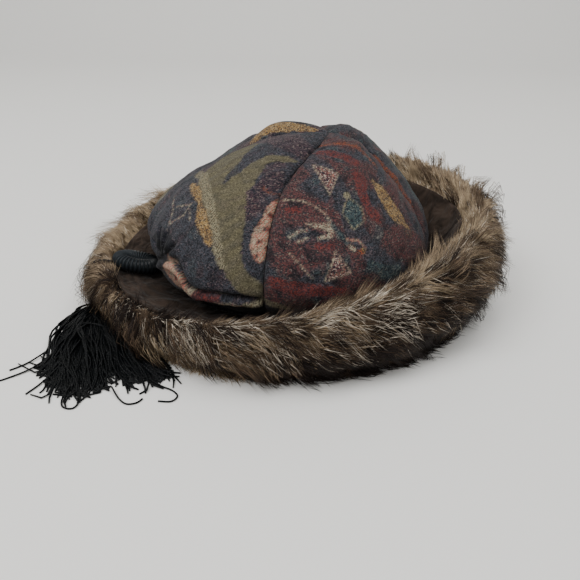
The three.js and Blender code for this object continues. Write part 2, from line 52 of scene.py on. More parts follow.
# Sizes that the dressed pieces share with the solids
HEAD_RADIUS = 92.31 * MM
SEAM_RADIUS = 94.31 * MM
SEAM_HEIGHT = 18.3 * MM
CROWN_RISE = 113 * MM
CROWN_WALL = 2 * MM
CROWN_OVERHANG = 19 * MM
TOP_LEAN = (29 * MM, -3 * MM)
TOP_POWER = 7
PUFF_DEPTH = 6 * MM
PUFF_REACH = 13 * MM
SEAM_GAP = 0.3 * MM
BRIM_REACH = 80 * MM
BRIM_RISE = 78 * MM
LEDGE_HEIGHT = 18 * MM
FACING_WALL = 1.5 * MM
FACING_GAP = 1.4 * MM
FACING_FOLD = 2.6 * MM
FACING_ELBOW = (0.72, 0.22)

# The camera, from the head opening's axis on the surface
CAMERA_PLACE = (2.74 * MM, -432.8 * MM, 240.6 * MM)
CAMERA_TILT = 30.24
CAMERA_ROLL = 1.127
LENS = 36.0
SENSOR_WIDTH = 36.0

# The crown's side from its seam to the top, as shares of radius, overhang and height
CROWN_ROWS = table(
    "hold swell rise",
    (1.0, 0.0, 0.0),
    (1.0, 0.04, 0.04),
    (1.0, 0.45, 0.085),
    (1.0, 0.86, 0.15),
    (1.0, 1.0, 0.26),
    (0.97, 0.95, 0.4),
    (0.875, 0.83, 0.55),
    (0.74, 0.68, 0.7),
    (0.56, 0.5, 0.835),
    (0.34, 0.3, 0.94),
    (0.15, 0.13, 0.985),
    (0.0, 0.0, 1.0),
)

# The gores between the bearings of their seams, and how fine each is woven, in metres a step
GORES = table(
    "name from to step",
    ("gore_front_left", 168, 262, 1.1 * MM),
    ("gore_front_right", 262, 347, 1.1 * MM),
    ("gore_back_right", -13, 85, 1.5 * MM),
    ("gore_back_left", 85, 168, 1.5 * MM),
)

# Dents of the crown, and bulges where the depth is less than zero: depth is a share of the
# overhang, spread degrees to each side, and tall the share of the height covered up and down
CROWN_DENTS = table(
    "bearing rise spread tall depth",
    (165, 0.78, 42, 0.3, 0.36),
    (12, 0.62, 40, 0.25, 0.02),
    (148, 0.72, 15, 0.16, 0.28),
    (145, 0.95, 26, 0.05, -0.5),
    (-8, 0.13, 7, 0.09, -0.26),
    (196, 0.1, 13, 0.13, 0.62),
    (186, 0.3, 4, 0.12, 0.2),
    (197, 0.32, 4, 0.14, 0.26),
    (208, 0.27, 4, 0.12, 0.22),
    (150, 0.1, 9, 0.1, 0.2),
    (100, 0.08, 8, 0.1, 0.25),
    (40, 0.1, 9, 0.1, 0.25),
    (300, 0.1, 10, 0.1, 0.25),
)

# The brim every 30 degrees, as in the solids: pairs of how far out and how far up
BRIM_ROWS = table(
    "crest edge belly foot",
    ((0.78, 0.93), (0.56, 0.77), (0.95, 0.51), (0.66, 0)),
    ((0.79, 0.94), (0.57, 0.76), (0.95, 0.52), (0.68, 0)),
    ((0.79, 0.9), (0.57, 0.72), (0.93, 0.5), (0.66, 0)),
    ((0.77, 0.8), (0.55, 0.64), (0.9, 0.44), (0.64, 0)),
    ((0.74, 0.64), (0.52, 0.5), (0.87, 0.35), (0.63, 0)),
    ((0.7, 0.48), (0.49, 0.38), (0.84, 0.26), (0.61, 0)),
    ((0.67, 0.41), (0.5, 0.34), (0.81, 0.21), (0.6, 0)),
    ((0.69, 0.43), (0.57, 0.38), (0.77, 0.22), (0.56, 0)),
    ((0.66, 0.51), (0.55, 0.44), (0.72, 0.25), (0.53, 0)),
    ((0.55, 0.61), (0.41, 0.53), (0.68, 0.29), (0.5, 0)),
    ((0.53, 0.74), (0.34, 0.65), (0.71, 0.34), (0.53, 0)),
    ((0.63, 0.85), (0.38, 0.73), (0.84, 0.44), (0.61, 0)),
)

# Soft folds across the facing
FACING_FOLDS = table(
    "bearing spread turn height",
    (211, 4, 8, 0.8),
    (224, 5, -12, 1.0),
    (236, 5, 14, 0.9),
    (250, 5, -10, 0.7),
    (165, 7, 8, 0.7),
    (15, 7, 12, 0.8),
    (345, 6, -8, 0.7),
    (75, 8, 10, 0.8),
    (120, 8, -10, 0.8),
)

# How the hair lies every 30 degrees: flow is its turn away from straight down, along the rim,
# at the foot and at the facing's edge. dark is a share at foot, belly, crest and edge, frost
# the share of pale-tipped locks, whose pale tips are partly the fur's own and partly painted highlight
# for the shine of guard hairs, wild how far it stands off, over how far it runs onto the facing
HAIR_ROWS = table(
    "flow dark frost wild over",
    ((-5, 55), (1.0, 0.9, 0.5, 0.12), 0.3, 1.4, 0.4),
    ((-10, 50), (0.7, 0.65, 0.35, 0.1), 0.2, 1.2, 0.2),
    ((-10, 50), (0.6, 0.5, 0.25, 0.05), 0.15, 0.9, 0.2),
    ((-5, 60), (0.6, 0.5, 0.3, 0.1), 0.2, 0.6, 0.2),
    ((0, 60), (0.6, 0.5, 0.3, 0.15), 0.2, 0.6, 0.2),
    ((-10, 30), (0.4, 0.3, 0.1, 0.0), 0.25, 0.5, 0.2),
    ((-15, 30), (0.2, 0.2, 0.1, 0.1), 0.2, 1.1, 0.6),
    ((-5, 40), (-0.3, 0.05, 0.85, 1.1), 0.05, 0.8, 0.1),
    ((20, 70), (-0.3, 0.35, 0.95, 0.9), 0.7, 0.5, 0.3),
    ((35, 95), (1.5, 1.1, 0.6, 0.25), 0.9, 0.45, 1.4),
    ((40, 105), (1.7, 1.25, 0.55, 0.0), 0.8, 0.5, 1.4),
    ((20, 85), (1.6, 1.2, 0.45, 0.0), 0.5, 1.1, 1.0),
)
# Where the hair stands up over the cord that lies in it: bearing, spread and height
CORD_COVER = {"bearing": 198, "spread": 8, "lift": 7.5 * MM}

# The cord's middle line from the head opening's axis, in millimetres, out of the knot and down
CORD_POINTS = [
    (-133.1, -41.5, 33.9),
    (-138.0, -43.0, 35.6),
    (-142.5, -44.5, 36.0),
    (-146.5, -46.0, 34.5),
    (-149.5, -48.0, 30.5),
    (-151.0, -50.0, 25.5),
    (-151.0, -52.0, 20.5),
    (-149.0, -53.8, 15.0),
    (-145.7, -55.7, 10.2),
]
CORD_DIAMETER = 3 * MM

# The knot
KNOT_SEAT = {"bearing": 196.5, "along": 0.55, "half_along": 0.25}
KNOT_LENGTH = 39 * MM
KNOT_BREADTH = 26 * MM
KNOT_HEIGHT = 11.5 * MM
KNOT_TURNS = 36
KNOT_SLIT = 1.2 * MM
# How deep the grooves are between its turns, and the finer ones between its threads
KNOT_GROOVE = 1.0 * MM
KNOT_GRAIN = 0.1 * MM

# The tassel
NECK_SEAT = (-143 * MM, -57 * MM)
NECK_HEIGHT = 5.6 * MM
NECK_BEARING = 283
NECK_LENGTH = 11 * MM
NECK_RADII = (5.0 * MM, 4.3 * MM)
NECK_TURNS = 9
NECK_THREAD_RADIUS = 0.75 * MM
TASSEL_HEIGHT = 11 * MM
THREAD_DIAMETER = 1.45 * MM
BUNDLES = 30
THREADS_IN_BUNDLE = 12
# How far a bundle, and a thread in it, turns away from its bearing in degrees as it leaves the neck
BUNDLE_TURN, THREAD_TURN = 13, 5
NECK_SPREAD = (1.5 * MM, 1.8 * MM)
# How far all threads sag to one side, and how far each waves sideways and up
SAG = -3.5 * MM
WAVE_ACROSS, WAVE_UP = 1.1 * MM, 0.8 * MM
# The least and most that a bundle sways, in millimetres
BUNDLE_SWAY = (0.8, 2.6)
# The threads' ends curl: some far and the others a little, in millimetres, each from a share of its
# length on, to the side and back
CURLED_SHARE, FAR_CURL, SLIGHT_CURL = 0.45, 9, 3
CURL_ACROSS = {"from": 0.86, "steep": 45}
CURL_BACK = {"from": 0.9, "steep": 60}
# Threads that lie by themselves, in millimetres from the head opening's axis. Those with a
# pitch are two threads twisted round each other.
STRAY_THREADS = [
    {"path": [(-146, -88, 7), (-158, -108, 4), (-170, -124, 1.2), (-180, -133, 0.7)]},
    {"path": [(-143, -92, 8), (-154, -112, 4), (-165, -130, 1.5), (-178, -141, 0.7), (-186, -146, 0.7)]},
    {"path": [(-140, -110, 8), (-147, -130, 4), (-154, -145, 1.2), (-160, -156, 0.7)]},
    {"path": [(-142, -52, 9), (-146, -46, 12), (-143, -42, 13), (-139, -46, 12), (-140, -53, 9)]},
    {
        "path": [(-152, -96, 8.5), (-145, -92, 10.5), (-136, -92, 11), (-127, -95, 10.5), (-121, -99, 9)],
        "pitch": 3.4,
    },
    {"path": [(-88, -140, 3), (-78, -146, 1.2), (-70, -150, 0.8), (-66, -155, 0.7), (-69, -160, 0.7),
              (-77, -160, 0.7)]},
    {"path": [(-108, -150, 3), (-102, -158, 1), (-96, -163, 0.7), (-90, -162, 0.7), (-87, -158, 0.7)]},
    {"path": [(-134, -150, 3), (-136, -160, 1), (-133, -167, 0.7), (-127, -168, 0.7), (-125, -163, 1.2),
              (-129, -158, 2)]},
]
STRAY_RADIUS = 0.6 * MM
# How far the fan of threads reaches from its neck in millimetres, by the bearing of a thread
FAN_REACH = {254: 97, 262: 84, 269: 103, 276: 111, 283: 110, 290: 102, 298: 108, 307: 117, 313: 111}
FAN_FROM, FAN_TO = 258, 313


# Colours are written as on a screen, from 0 to 255
def screen(red, green, blue):
    """A colour as Blender's shaders take it."""
    share = np.array([red, green, blue], float) / 255
    linear = np.where(share <= 0.04045, share / 12.92, ((share + 0.055) / 1.055) ** 2.4)
    return tuple(float(value) for value in linear)


# Yarns of the cloth: most of a yarn's threads are main, a share is fleck, and a smaller share,
# sparks, has the colour spark
YARN_ROWS = table(
    "yarn main fleck spark share sparks",
    ("slate", (58, 60, 67), (32, 32, 37), (84, 75, 80), 0.42, 0.1),
    ("plum", (70, 53, 58), (34, 33, 41), (106, 93, 89), 0.44, 0.12),
    ("olive", (98, 92, 71), (80, 75, 58), (110, 103, 79), 0.4, 0.1),
    ("pale", (134, 127, 104), (84, 78, 63), (102, 84, 58), 0.3, 0.06),
    ("gold", (140, 110, 66), (74, 60, 50), (164, 142, 102), 0.42, 0.2),
    ("rose", (168, 106, 92), (154, 146, 124), (98, 82, 68), 0.4, 0.08),
    ("cream", (152, 143, 122), (92, 80, 76), (118, 66, 60), 0.24, 0.1),
    ("wine", (87, 54, 54), (48, 43, 45), (104, 90, 84), 0.46, 0.06),
    ("red", (106, 50, 46), (66, 38, 40), (50, 44, 50), 0.38, 0.16),
    ("teal", (60, 74, 76), (34, 40, 47), (98, 104, 98), 0.42, 0.12),
    ("rust", (124, 67, 45), (68, 44, 43), (82, 72, 68), 0.42, 0.16),
    ("night", (31, 32, 38), (17, 18, 22), (54, 50, 57), 0.46, 0.08),
    ("black", (13, 14, 16), (8, 8, 10), (56, 56, 60), 0.4, 0.05),
    ("hatch", (94, 62, 63), (40, 35, 42), (160, 144, 132), 0.44, 0.22),
)
YARNS = {row["yarn"]: row for row in YARN_ROWS}
# How far the flecks of some yarns gather in stripes up the cloth
STRIPED = {"pale": 0.55, "rose": 0.85, "olive": 0.15}

FUR_TAN = (180, 160, 132)
FUR_BROWN = (110, 91, 73)
FUR_DARK = (34, 26, 23)
# Pale tips of the hair: partly the fur's own silver tips and partly painted highlight for the shine of
# guard hairs
FUR_FROST_AND_GLINT = (236, 224, 206)
FACING_BROWN = (52, 43, 37)


# Helpers for arrays of points
def smooth_at(values, position, closed=False):
    """Smooth values between equal steps of a list."""
    values = np.asarray(values, float)
    start = np.floor(position).astype(int)
    t = position - start

    def pick(step):
        index = start + step
        if closed:
            return values[index % len(values)]
        return values[np.clip(index, 0, len(values) - 1)]

    a, b, c, d = pick(-1), pick(0), pick(1), pick(2)
    slope_b, slope_c, rise = (c - a) / 2, (d - b) / 2, c - b
    return b + t * (slope_b + t * (3 * rise - 2 * slope_b - slope_c + t * (slope_b + slope_c - 2 * rise)))


def bell(distance, spread):
    """One at no distance, falling to about a third at the spread."""
    return np.exp(-((distance / spread) ** 2))


def smoothstep(value, low, high):
    t = np.clip((value - low) / (high - low), 0, 1)
    return t * t * (3 - 2 * t)


def turn_between(a, b):
    return (a - b + 540) % 360 - 180


def polar(radius, bearing, height):
    angle = np.radians(bearing)
    return np.stack(np.broadcast_arrays(radius * np.cos(angle), radius * np.sin(angle), height), -1)


def unit(vectors):
    return vectors / np.maximum(np.linalg.norm(vectors, axis=-1, keepdims=True), 1e-12)


def ripple(points, size, seed):
    """Smooth unevenness, mostly from -1 to 1, in waves about `size` long."""
    draw = np.random.default_rng(seed % 1000)
    total = np.zeros(points.shape[:-1])
    waves = 8
    for _ in range(waves):
        heading = unit(draw.normal(size=points.shape[-1]))
        length = size * draw.uniform(0.7, 1.5)
        total += np.sin(points @ heading * (2 * math.pi / length) + draw.uniform(0, 2 * math.pi))
    return total * math.sqrt(2 / waves) / 1.6


def opening_axis():
    """Where the head opening's axis meets the surface: the middle of the fur's inner circle."""
    points = np.array([corner.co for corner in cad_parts["fur_brim"].data.vertices])
    circle = points[(points[:, 2] < 0.1 * MM) & (np.hypot(points[:, 0], points[:, 1]) < 1.05 * HEAD_RADIUS)]
    low, high = circle.min(0), circle.max(0)
    return np.array([(low[0] + high[0]) / 2, (low[1] + high[1]) / 2, 0])


AXIS = opening_axis()


def ring_quads(rows, columns, closed=False):
    """Quads between rings of points, and from the last ring back to the first where closed."""
    ring = np.arange(rows * columns).reshape(rows, columns)
    beside, after = np.roll(ring, -1, axis=1), np.roll(ring, -1, axis=0)
    quads = np.stack([ring, beside, np.roll(after, -1, axis=1), after], -1)
    return quads[: rows if closed else rows - 1].reshape(-1, 4)


def in_scene(name, data):
    """A new object of the scene, for a mesh, a camera or a light."""
    item = bpy.data.objects.new(name, data)
    bpy.context.scene.collection.objects.link(item)
    return item


def make_piece(name, points, faces, attributes):
    """A mesh object from arrays. Faces are triangles or quads, as one array for each size."""
    mesh = bpy.data.meshes.new(name)
    groups = [np.asarray(group, np.int64) for group in faces if len(group)]
    corners = np.concatenate([group.ravel() for group in groups])
    totals = np.concatenate([np.full(len(group), group.shape[1]) for group in groups])
    starts = np.concatenate([[0], np.cumsum(totals)[:-1]])
    mesh.vertices.add(len(points))
    mesh.vertices.foreach_set("co", np.asarray(points, np.float32).ravel())
    mesh.loops.add(len(corners))
    mesh.loops.foreach_set("vertex_index", corners.astype(np.int32))
    mesh.polygons.add(len(totals))
    mesh.polygons.foreach_set("loop_start", starts.astype(np.int32))
    mesh.polygons.foreach_set("loop_total", totals.astype(np.int32))
    mesh.polygons.foreach_set("use_smooth", np.ones(len(totals), bool))
    mesh.update(calc_edges=True)
    for key, values in attributes.items():
        add_attribute(mesh, key, values)
    piece = in_scene(name, mesh)
    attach(piece, BODY)
    return piece


def add_attribute(mesh, key, values):
    """A value for each point: a number, a place of three numbers or a colour of four."""
    values = np.asarray(values, np.float32)
    kinds = {1: ("FLOAT", "value"), 3: ("FLOAT_VECTOR", "vector"), 4: ("FLOAT_COLOR", "color")}
    width = 1 if values.ndim == 1 else values.shape[1]
    kind, field = kinds[width]
    attribute = mesh.attributes.new(key, kind, "POINT")
    attribute.data.foreach_set(field, values.ravel())


def with_alpha(colours):
    return np.concatenate([colours, np.ones((len(colours), 1))], axis=1)


def tubes(paths, radii, sides):
    """Closed round tubes along many paths of the same number of points.

    paths is (tube, point, 3) and radii (tube, point). Returns points, quads, cap faces and, for
    each point, how far along its tube it is in metres and where round it."""
    count, length, _ = paths.shape
    ahead = unit(np.gradient(paths, axis=1))
    level = np.zeros_like(ahead)
    level[..., 2] = 1
    across = unit(np.cross(ahead, level + 1e-4))[:, :, None]
    upright = np.cross(across, ahead[:, :, None])
    angles = np.arange(sides) / sides * 2 * math.pi
    wide = radii[:, :, None, None]
    cosine, sine = np.cos(angles)[None, None, :, None], np.sin(angles)[None, None, :, None]
    rings = paths[:, :, None] + wide * cosine * across + wide * sine * upright
    starts = np.arange(count) * length * sides
    quads = starts[:, None, None] + ring_quads(length, sides)[:, [0, 3, 2, 1]]
    first = starts[:, None] + np.arange(sides)
    last = (first + (length - 1) * sides)[:, ::-1]
    steps = np.linalg.norm(np.diff(paths, axis=1), axis=-1)
    run = np.concatenate([np.zeros((count, 1)), np.cumsum(steps, axis=1)], axis=1)
    around = np.tile(angles / (2 * math.pi), count * length)
    return rings.reshape(-1, 3), quads.reshape(-1, 4), [first, last], np.repeat(run.ravel(), sides), around


# The length of thread in which its plies turn once round each other
PLY_LENGTH = 2.2 * MM


def make_threads(name, groups):
    """One mesh of many tubes, in groups of paths, radii and a number of sides."""
    parts = [tubes(*group) for group in groups]
    starts = np.cumsum([0] + [len(part[0]) for part in parts[:-1]])
    points = np.concatenate([part[0] for part in parts])
    quads = np.concatenate([part[1] + start for part, start in zip(parts, starts)])
    caps = [cap + start for part, start in zip(parts, starts) for cap in part[2]]
    strand = np.concatenate([part[3] / PLY_LENGTH + part[4] for part in parts])
    return make_piece(name, points, [quads, *caps], {"strand": strand})


# The crown
def crown_side(along):
    """Radius and share of the height of the crown's side, without its puffs."""
    position = along * (len(CROWN_ROWS) - 1)
    hold, swell, rise = (
        smooth_at([row[key] for row in CROWN_ROWS], position) for key in ("hold", "swell", "rise")
    )
    return np.maximum(SEAM_RADIUS * hold + CROWN_OVERHANG * swell, 0), rise


def side_lengths():
    """How far up the cloth lies each step from the seam to the top."""
    steps = np.linspace(0, 1, 1500)
    radius, rise = crown_side(steps)
    run = np.hypot(np.diff(radius), np.diff(rise) * CROWN_RISE)
    return steps, np.concatenate([[0], np.cumsum(run)])


SIDE_STEPS, SIDE_RUN = side_lengths()

# Where the front left gore folds under, in millimetres on its cloth: across from its middle, up
FOLD_LINE = [(-4, 38), (4, 42), (12, 45.5), (22, 47), (30, 45), (35, 38.5), (39, 34.4)]
FOLD_LINE += [(44, 32.4), (52, 33), (61, 34.2), (78, 35.4), (89, 33), (93, 31)]
# Over what stretches across the cloth the fold begins and ends
FOLD_BEGINS, FOLD_ENDS = (-8, 4), (91, 94)
# The fold in section, in millimetres: a deep line, and cloth that stands up below and above it
FOLD_PROFILE = table(
    "depth below spread",
    (4.4, 0, 1.5),
    (-3.6, 5.0, 3.4),
    (-1.2, -4.5, 4.0),
)
# How deep the seams are sewn in and how far they pucker the cloth, with how far each reaches, and
# the cloth's soft waves with their length, in millimetres
SEAM_DENT, SEAM_PUCKER = (1.5, 1.3), (0.35, 4.5)
LONG_WAVES, SHORT_WAVES = (0.55, 26), (0.22, 9)
# Creases of the front gores: the ends on the cloth in millimetres, the depth and the half width
CREASES = {
    "gore_front_left": table(
        "from to depth width",
        ((2, 46), (-10, 60), 3.4, 2.0),
        ((6, 46), (3, 62), 4.0, 1.9),
        ((10, 45), (17, 57), 3.6, 2.0),
        ((0, 44), (-18, 46), 3.4, 1.9),
        ((13, 44), (26, 49), 2.0, 2.4),
        ((4, 38), (-10, 33), 1.6, 1.8),
        ((24, 118), (62, 112), 0.6, 5.0),
        ((-40, 96), (-12, 128), 1.0, 7.0),
    ),
    "gore_front_right": table(
        "from to depth width",
        ((-60, 44), (-38, 52), 0.9, 3.0),
        ((-30, 44), (-22, 58), 0.8, 3.5),
        ((16, 50), (44, 60), 1.2, 4.0),
        ((40, 70), (22, 110), 0.9, 4.5),
    ),
}


def to_path(points, x, y):
    """Distance of cloth places to a path's edge, and how far along the path the nearest one is.

    The path's points may have a half width, and inside it the distance is less than zero."""
    best = np.full(x.shape, np.inf)
    along = np.zeros(x.shape)
    run = 0.0
    points = [(*point, 0)[:3] for point in points]
    for (x0, y0, wide0), (x1, y1, wide1) in zip(points[:-1], points[1:]):
        length = math.hypot(x1 - x0, y1 - y0)
        t = np.clip(((x - x0) * (x1 - x0) + (y - y0) * (y1 - y0)) / length**2, 0, 1)
        distance = np.hypot(x - x0 - t * (x1 - x0), y - y0 - t * (y1 - y0))
        distance = distance - (wide0 + t * (wide1 - wide0))
        nearer = distance < best
        best = np.where(nearer, distance, best)
        along = np.where(nearer, run + t * length, along)
        run += length
    return best, along


def cloth_relief(gore, x, y, from_seam):
    """How far the cloth lies sunk, in metres, by its seams, folds, creases and soft waves."""
    places = np.stack([x, y], -1)
    pucker = np.sin(y / 1.1 + 2.0 * ripple(places, 30, 3)) * np.exp(-from_seam / SEAM_PUCKER[1])
    sunk = SEAM_DENT[0] * bell(from_seam, SEAM_DENT[1]) + SEAM_PUCKER[0] * pucker
    for (height, length), seed in ((LONG_WAVES, gore["from"]), (SHORT_WAVES, gore["to"])):
        sunk = sunk + height * ripple(places, length, seed)
    for crease in CREASES.get(gore["name"], []):
        distance, _ = to_path([crease["from"], crease["to"]], x, y)
        sunk = sunk + crease["depth"] * bell(distance, crease["width"])
    if gore["name"] == "gore_front_left":
        line = np.array(FOLD_LINE)
        above = y - np.interp(x, line[:, 0], line[:, 1])
        inside = smoothstep(x, *FOLD_BEGINS) * (1 - smoothstep(x, *FOLD_ENDS))
        fold = sum(row["depth"] * bell(above + row["below"], row["spread"]) for row in FOLD_PROFILE)
        sunk = sunk + fold * inside * smoothstep(y, 4, 16)
    return sunk * MM


def crown_points(gore, bearing, along, inset):
    """The crown's outer face, or its inner face when inset is its wall, and its cloth places."""
    nudge = 0.01
    radius, rise = crown_side(along)
    radius_before, rise_before = crown_side(np.maximum(along - nudge, 0))
    radius_after, rise_after = crown_side(np.minimum(along + nudge, 1))
    run_out = radius_after - radius_before
    run_up = (rise_after - rise_before) * CROWN_RISE
    length = np.hypot(run_out, run_up)
    face_out, face_up = run_up / length, -run_out / length
    middle = (gore["from"] + gore["to"]) / 2
    half = (gore["to"] - gore["from"]) / 2
    from_seam = radius * np.radians(half - np.abs(bearing - middle))
    sunk = PUFF_DEPTH * smoothstep(rise, 0.01, 0.2) * np.exp(-from_seam / PUFF_REACH)
    dented = smoothstep(rise, 0, 0.06) * (1 - smoothstep(rise, 0.88, 1))
    for dent in CROWN_DENTS:
        around = bell(turn_between(bearing, dent["bearing"]), dent["spread"])
        upward = bell(rise - dent["rise"], dent["tall"])
        sunk = sunk + CROWN_OVERHANG * dent["depth"] * around * upward * dented
    x = np.radians(bearing - middle) * radius / MM
    y = np.interp(along, SIDE_STEPS, SIDE_RUN) / MM
    if inset == 0:
        fade = smoothstep(rise, 0.0, 0.03) * (1 - smoothstep(rise, 0.97, 1.0))
        sunk = sunk + cloth_relief(gore, x, y, from_seam / MM) * fade
    # Near the top the panel narrows to the gap that the seam keeps, and it stops there
    sharp = math.sin(math.radians(half))
    out = np.maximum(radius - face_out * (sunk + inset), SEAM_GAP / 2 / sharp)
    margin = np.degrees(np.arcsin(np.minimum(SEAM_GAP / 2 / out, sharp)))
    turned = middle + np.clip(bearing - middle, margin - half, half - margin)
    points = polar(out, turned, SEAM_HEIGHT + rise * CROWN_RISE - face_up * (sunk + inset))
    lean = rise**TOP_POWER
    points[..., 0] += TOP_LEAN[0] * lean
    points[..., 1] += TOP_LEAN[1] * lean
    return points + AXIS, x, y


# Motifs of the woven cloth, in millimetres on each gore's cloth: across from its middle, and up
# from the crown's seam. Stems are paths with a half width at each point, ovals have a place, half
# sizes and a turn, and dashes are broken lines.
STEMS = {
    "gore_front_left": table(
        "yarn path",
        ("olive", [(-14, 137, 9), (-9, 125, 12), (3, 113, 13), (20, 104, 13), (36, 94, 12), (50, 82, 9),
            (58, 71, 7), (64, 62, 6), (71, 53, 6), (79, 46, 6), (91, 39, 6)]),
        ("olive", [(34, 141, 1.5), (26, 140, 3), (20, 136, 4.5), (20, 129, 5), (25, 121, 6.5),
            (32, 108, 8)]),
        ("pale", [(-24, 106, 2.5), (-8, 107, 3.5), (9, 101, 3.6), (25, 92, 3.2), (39, 80, 3.2),
            (52, 66, 3), (62, 54, 2)]),
        ("gold", [(-10, 98, 1.5), (0, 97, 3.4), (9, 94, 3.0), (14, 91, 1.5)]),
        ("gold", [(17, 89, 2.0), (24, 84, 4.0), (32, 77, 4.2), (40, 71, 3.2), (47, 66, 1.2)]),
        ("plum", [(-30, 150, 9), (0, 158, 9), (25, 152, 6), (33, 148, 3)]),
        ("slate", [(5, 134, 2), (10, 130, 4), (13, 124, 4), (16, 116, 2.8), (19, 109, 1)]),
        ("plum", [(40, 124, 5), (46, 116, 7), (52, 110, 4)]),
        ("rust", [(44, 113, 0.7), (52, 111, 0.7), (58, 112, 0.6)]),
        ("pale", [(-62, 96, 2), (-54, 84, 3), (-52, 70, 3), (-58, 58, 2)]),
        ("olive", [(-68, 104, 5), (-62, 88, 7), (-62, 70, 7), (-68, 54, 5)]),
        ("night", [(-12, 30, 6), (0, 28, 7), (10, 27, 4)]),
        ("rose", [(13, 38, 2.2), (19, 36, 4), (25, 33, 5), (32, 30.5, 4.5), (38, 29.5, 3)]),
        ("cream", [(25, 37.5, 0.8), (30, 34, 1.8), (37, 31.5, 2.2), (43, 30, 1.4)]),
        ("red", [(44, 28, 3.2), (62, 29, 3.2)]),
        ("cream", [(60, 28, 1.2), (72, 29, 2.2), (80, 29, 1)]),
        ("red", [(74, 26, 2), (80, 27, 2)]),
        ("pale", [(82, 28, 3), (92, 29, 3)]),
    ),
    "gore_front_right": table(
        "yarn path",
        ("slate", [(-30, 146, 6), (-22, 128, 8), (-14, 112, 6), (-10, 96, 9), (-12, 78, 8), (-4, 60, 7),
            (10, 50, 5)]),
        ("wine", [(-58, 92, 4), (-40, 92, 8), (-30, 82, 4)]),
        ("red", [(2, 122, 3), (5, 112, 5), (3, 104, 4), (5, 92, 2.5)]),
        ("red", [(6, 88, 4), (9, 82, 3)]),
        ("red", [(-52, 98, 2), (-46, 97, 3)]),
        ("red", [(-40, 72, 2.4), (-32, 71, 2.8)]),
        ("gold", [(17, 110, 2), (22, 99, 6), (27, 86, 7.5), (33, 73, 6), (40, 62, 2.5)]),
        ("cream", [(-43, 88, 0.9), (-36, 85, 1.6), (-28, 84, 2.8), (-30, 78, 2), (-38, 77, 1.2)]),
        ("teal", [(-27, 86, 1.2), (-24, 80, 1.6), (-21, 74, 1.6), (-18, 68, 1.4)]),
        ("rust", [(-28, 164, 1.5), (-9, 160, 2.0), (10, 149, 1.8), (22, 131, 1.6), (28, 120, 1)]),
        ("red", [(-20, 150, 3), (-4, 140, 4), (6, 130, 3)]),
        ("teal", [(-8, 54, 3), (4, 46, 5), (16, 44, 4)]),
        ("red", [(-76, 48, 4), (-60, 44, 5), (-44, 42, 4), (-30, 40, 3)]),
        ("wine", [(24, 66, 9), (40, 54, 9), (50, 46, 7)]),
        ("pale", [(-84, 30, 3), (-72, 29, 3), (-66, 28, 2)]),
    ),
    "gore_back_right": table(
        "yarn path",
        ("rust", [(-47, 130, 1.5), (-61, 108, 2), (-73, 87, 2), (-86, 70, 1.5)]),
        ("teal", [(-20, 140, 4), (-34, 112, 5), (-50, 88, 5), (-66, 70, 4)]),
        ("olive", [(-10, 150, 2), (-12, 130, 5), (-2, 108, 8), (16, 92, 9), (30, 72, 7), (36, 50, 5)]),
        ("pale", [(-2, 120, 2), (8, 106, 3), (24, 92, 3), (40, 76, 2.5), (48, 58, 2)]),
        ("gold", [(44, 110, 2), (52, 96, 5), (56, 80, 5), (54, 64, 2)]),
        ("red", [(-30, 70, 3), (-22, 58, 5), (-8, 48, 4)]),
        ("wine", [(60, 52, 6), (76, 44, 7), (88, 36, 5)]),
    ),
    "gore_back_left": table(
        "yarn path",
        ("gold", [(30, 140, 3), (22, 143, 6), (13, 153, 7), (8, 165, 5), (4, 178, 2)]),
        ("olive", [(-6, 160, 2), (-20, 136, 6), (-26, 112, 9), (-14, 90, 9), (4, 74, 7), (14, 52, 5)]),
        ("pale", [(-6, 118, 2), (-12, 104, 3), (0, 88, 3), (16, 74, 3), (26, 56, 2)]),
        ("rust", [(44, 120, 1.5), (36, 104, 2), (38, 86, 1.5)]),
        ("red", [(44, 64, 3), (54, 54, 5), (60, 44, 3)]),
        ("wine", [(-60, 60, 6), (-50, 46, 7), (-34, 38, 5)]),
    ),
}
OVALS = {
    "gore_front_left": table(
        "yarn at size turn",
        ("rose", (75.5, 77), (19, 6.2), -61),
        ("rose", (66.5, 97), (12.5, 3.6), -62),
        ("rose", (-66, 118), (13, 5), 70),
        # Painted shade over the deep gathers beside the knot, and inside it a black patch that is partly
        # black satin and partly painted shade
        ("night", (4, 49), (22, 13), 0),
        ("black", (4, 49), (14, 6), 0),
        ("rose", (26, 37.5), (14, 5.5), -30),
    ),
    "gore_front_right": table(
        "yarn at size turn",
        ("teal", (-9, 90.5), (11.5, 7), 76),
        ("pale", (-9.5, 104.5), (3, 2.6), 0),
        ("cream", (-17.5, 67.5), (3.4, 1.6), -50),
        ("rust", (-12.5, 64), (3.2, 2.0), -20),
        ("gold", (-10, 65), (1.6, 1.4), 0),
    ),
    "gore_back_right": table(
        "yarn at size turn",
        ("rose", (-6, 78), (15, 5), -60),
        ("teal", (66, 84), (10, 6), 70),
        ("rose", (16, 128), (12, 4.6), -50),
    ),
    "gore_back_left": table(
        "yarn at size turn",
        ("rose", (-52, 92), (15, 5.4), 62),
        ("teal", (20, 104), (10, 6), -60),
    ),
}
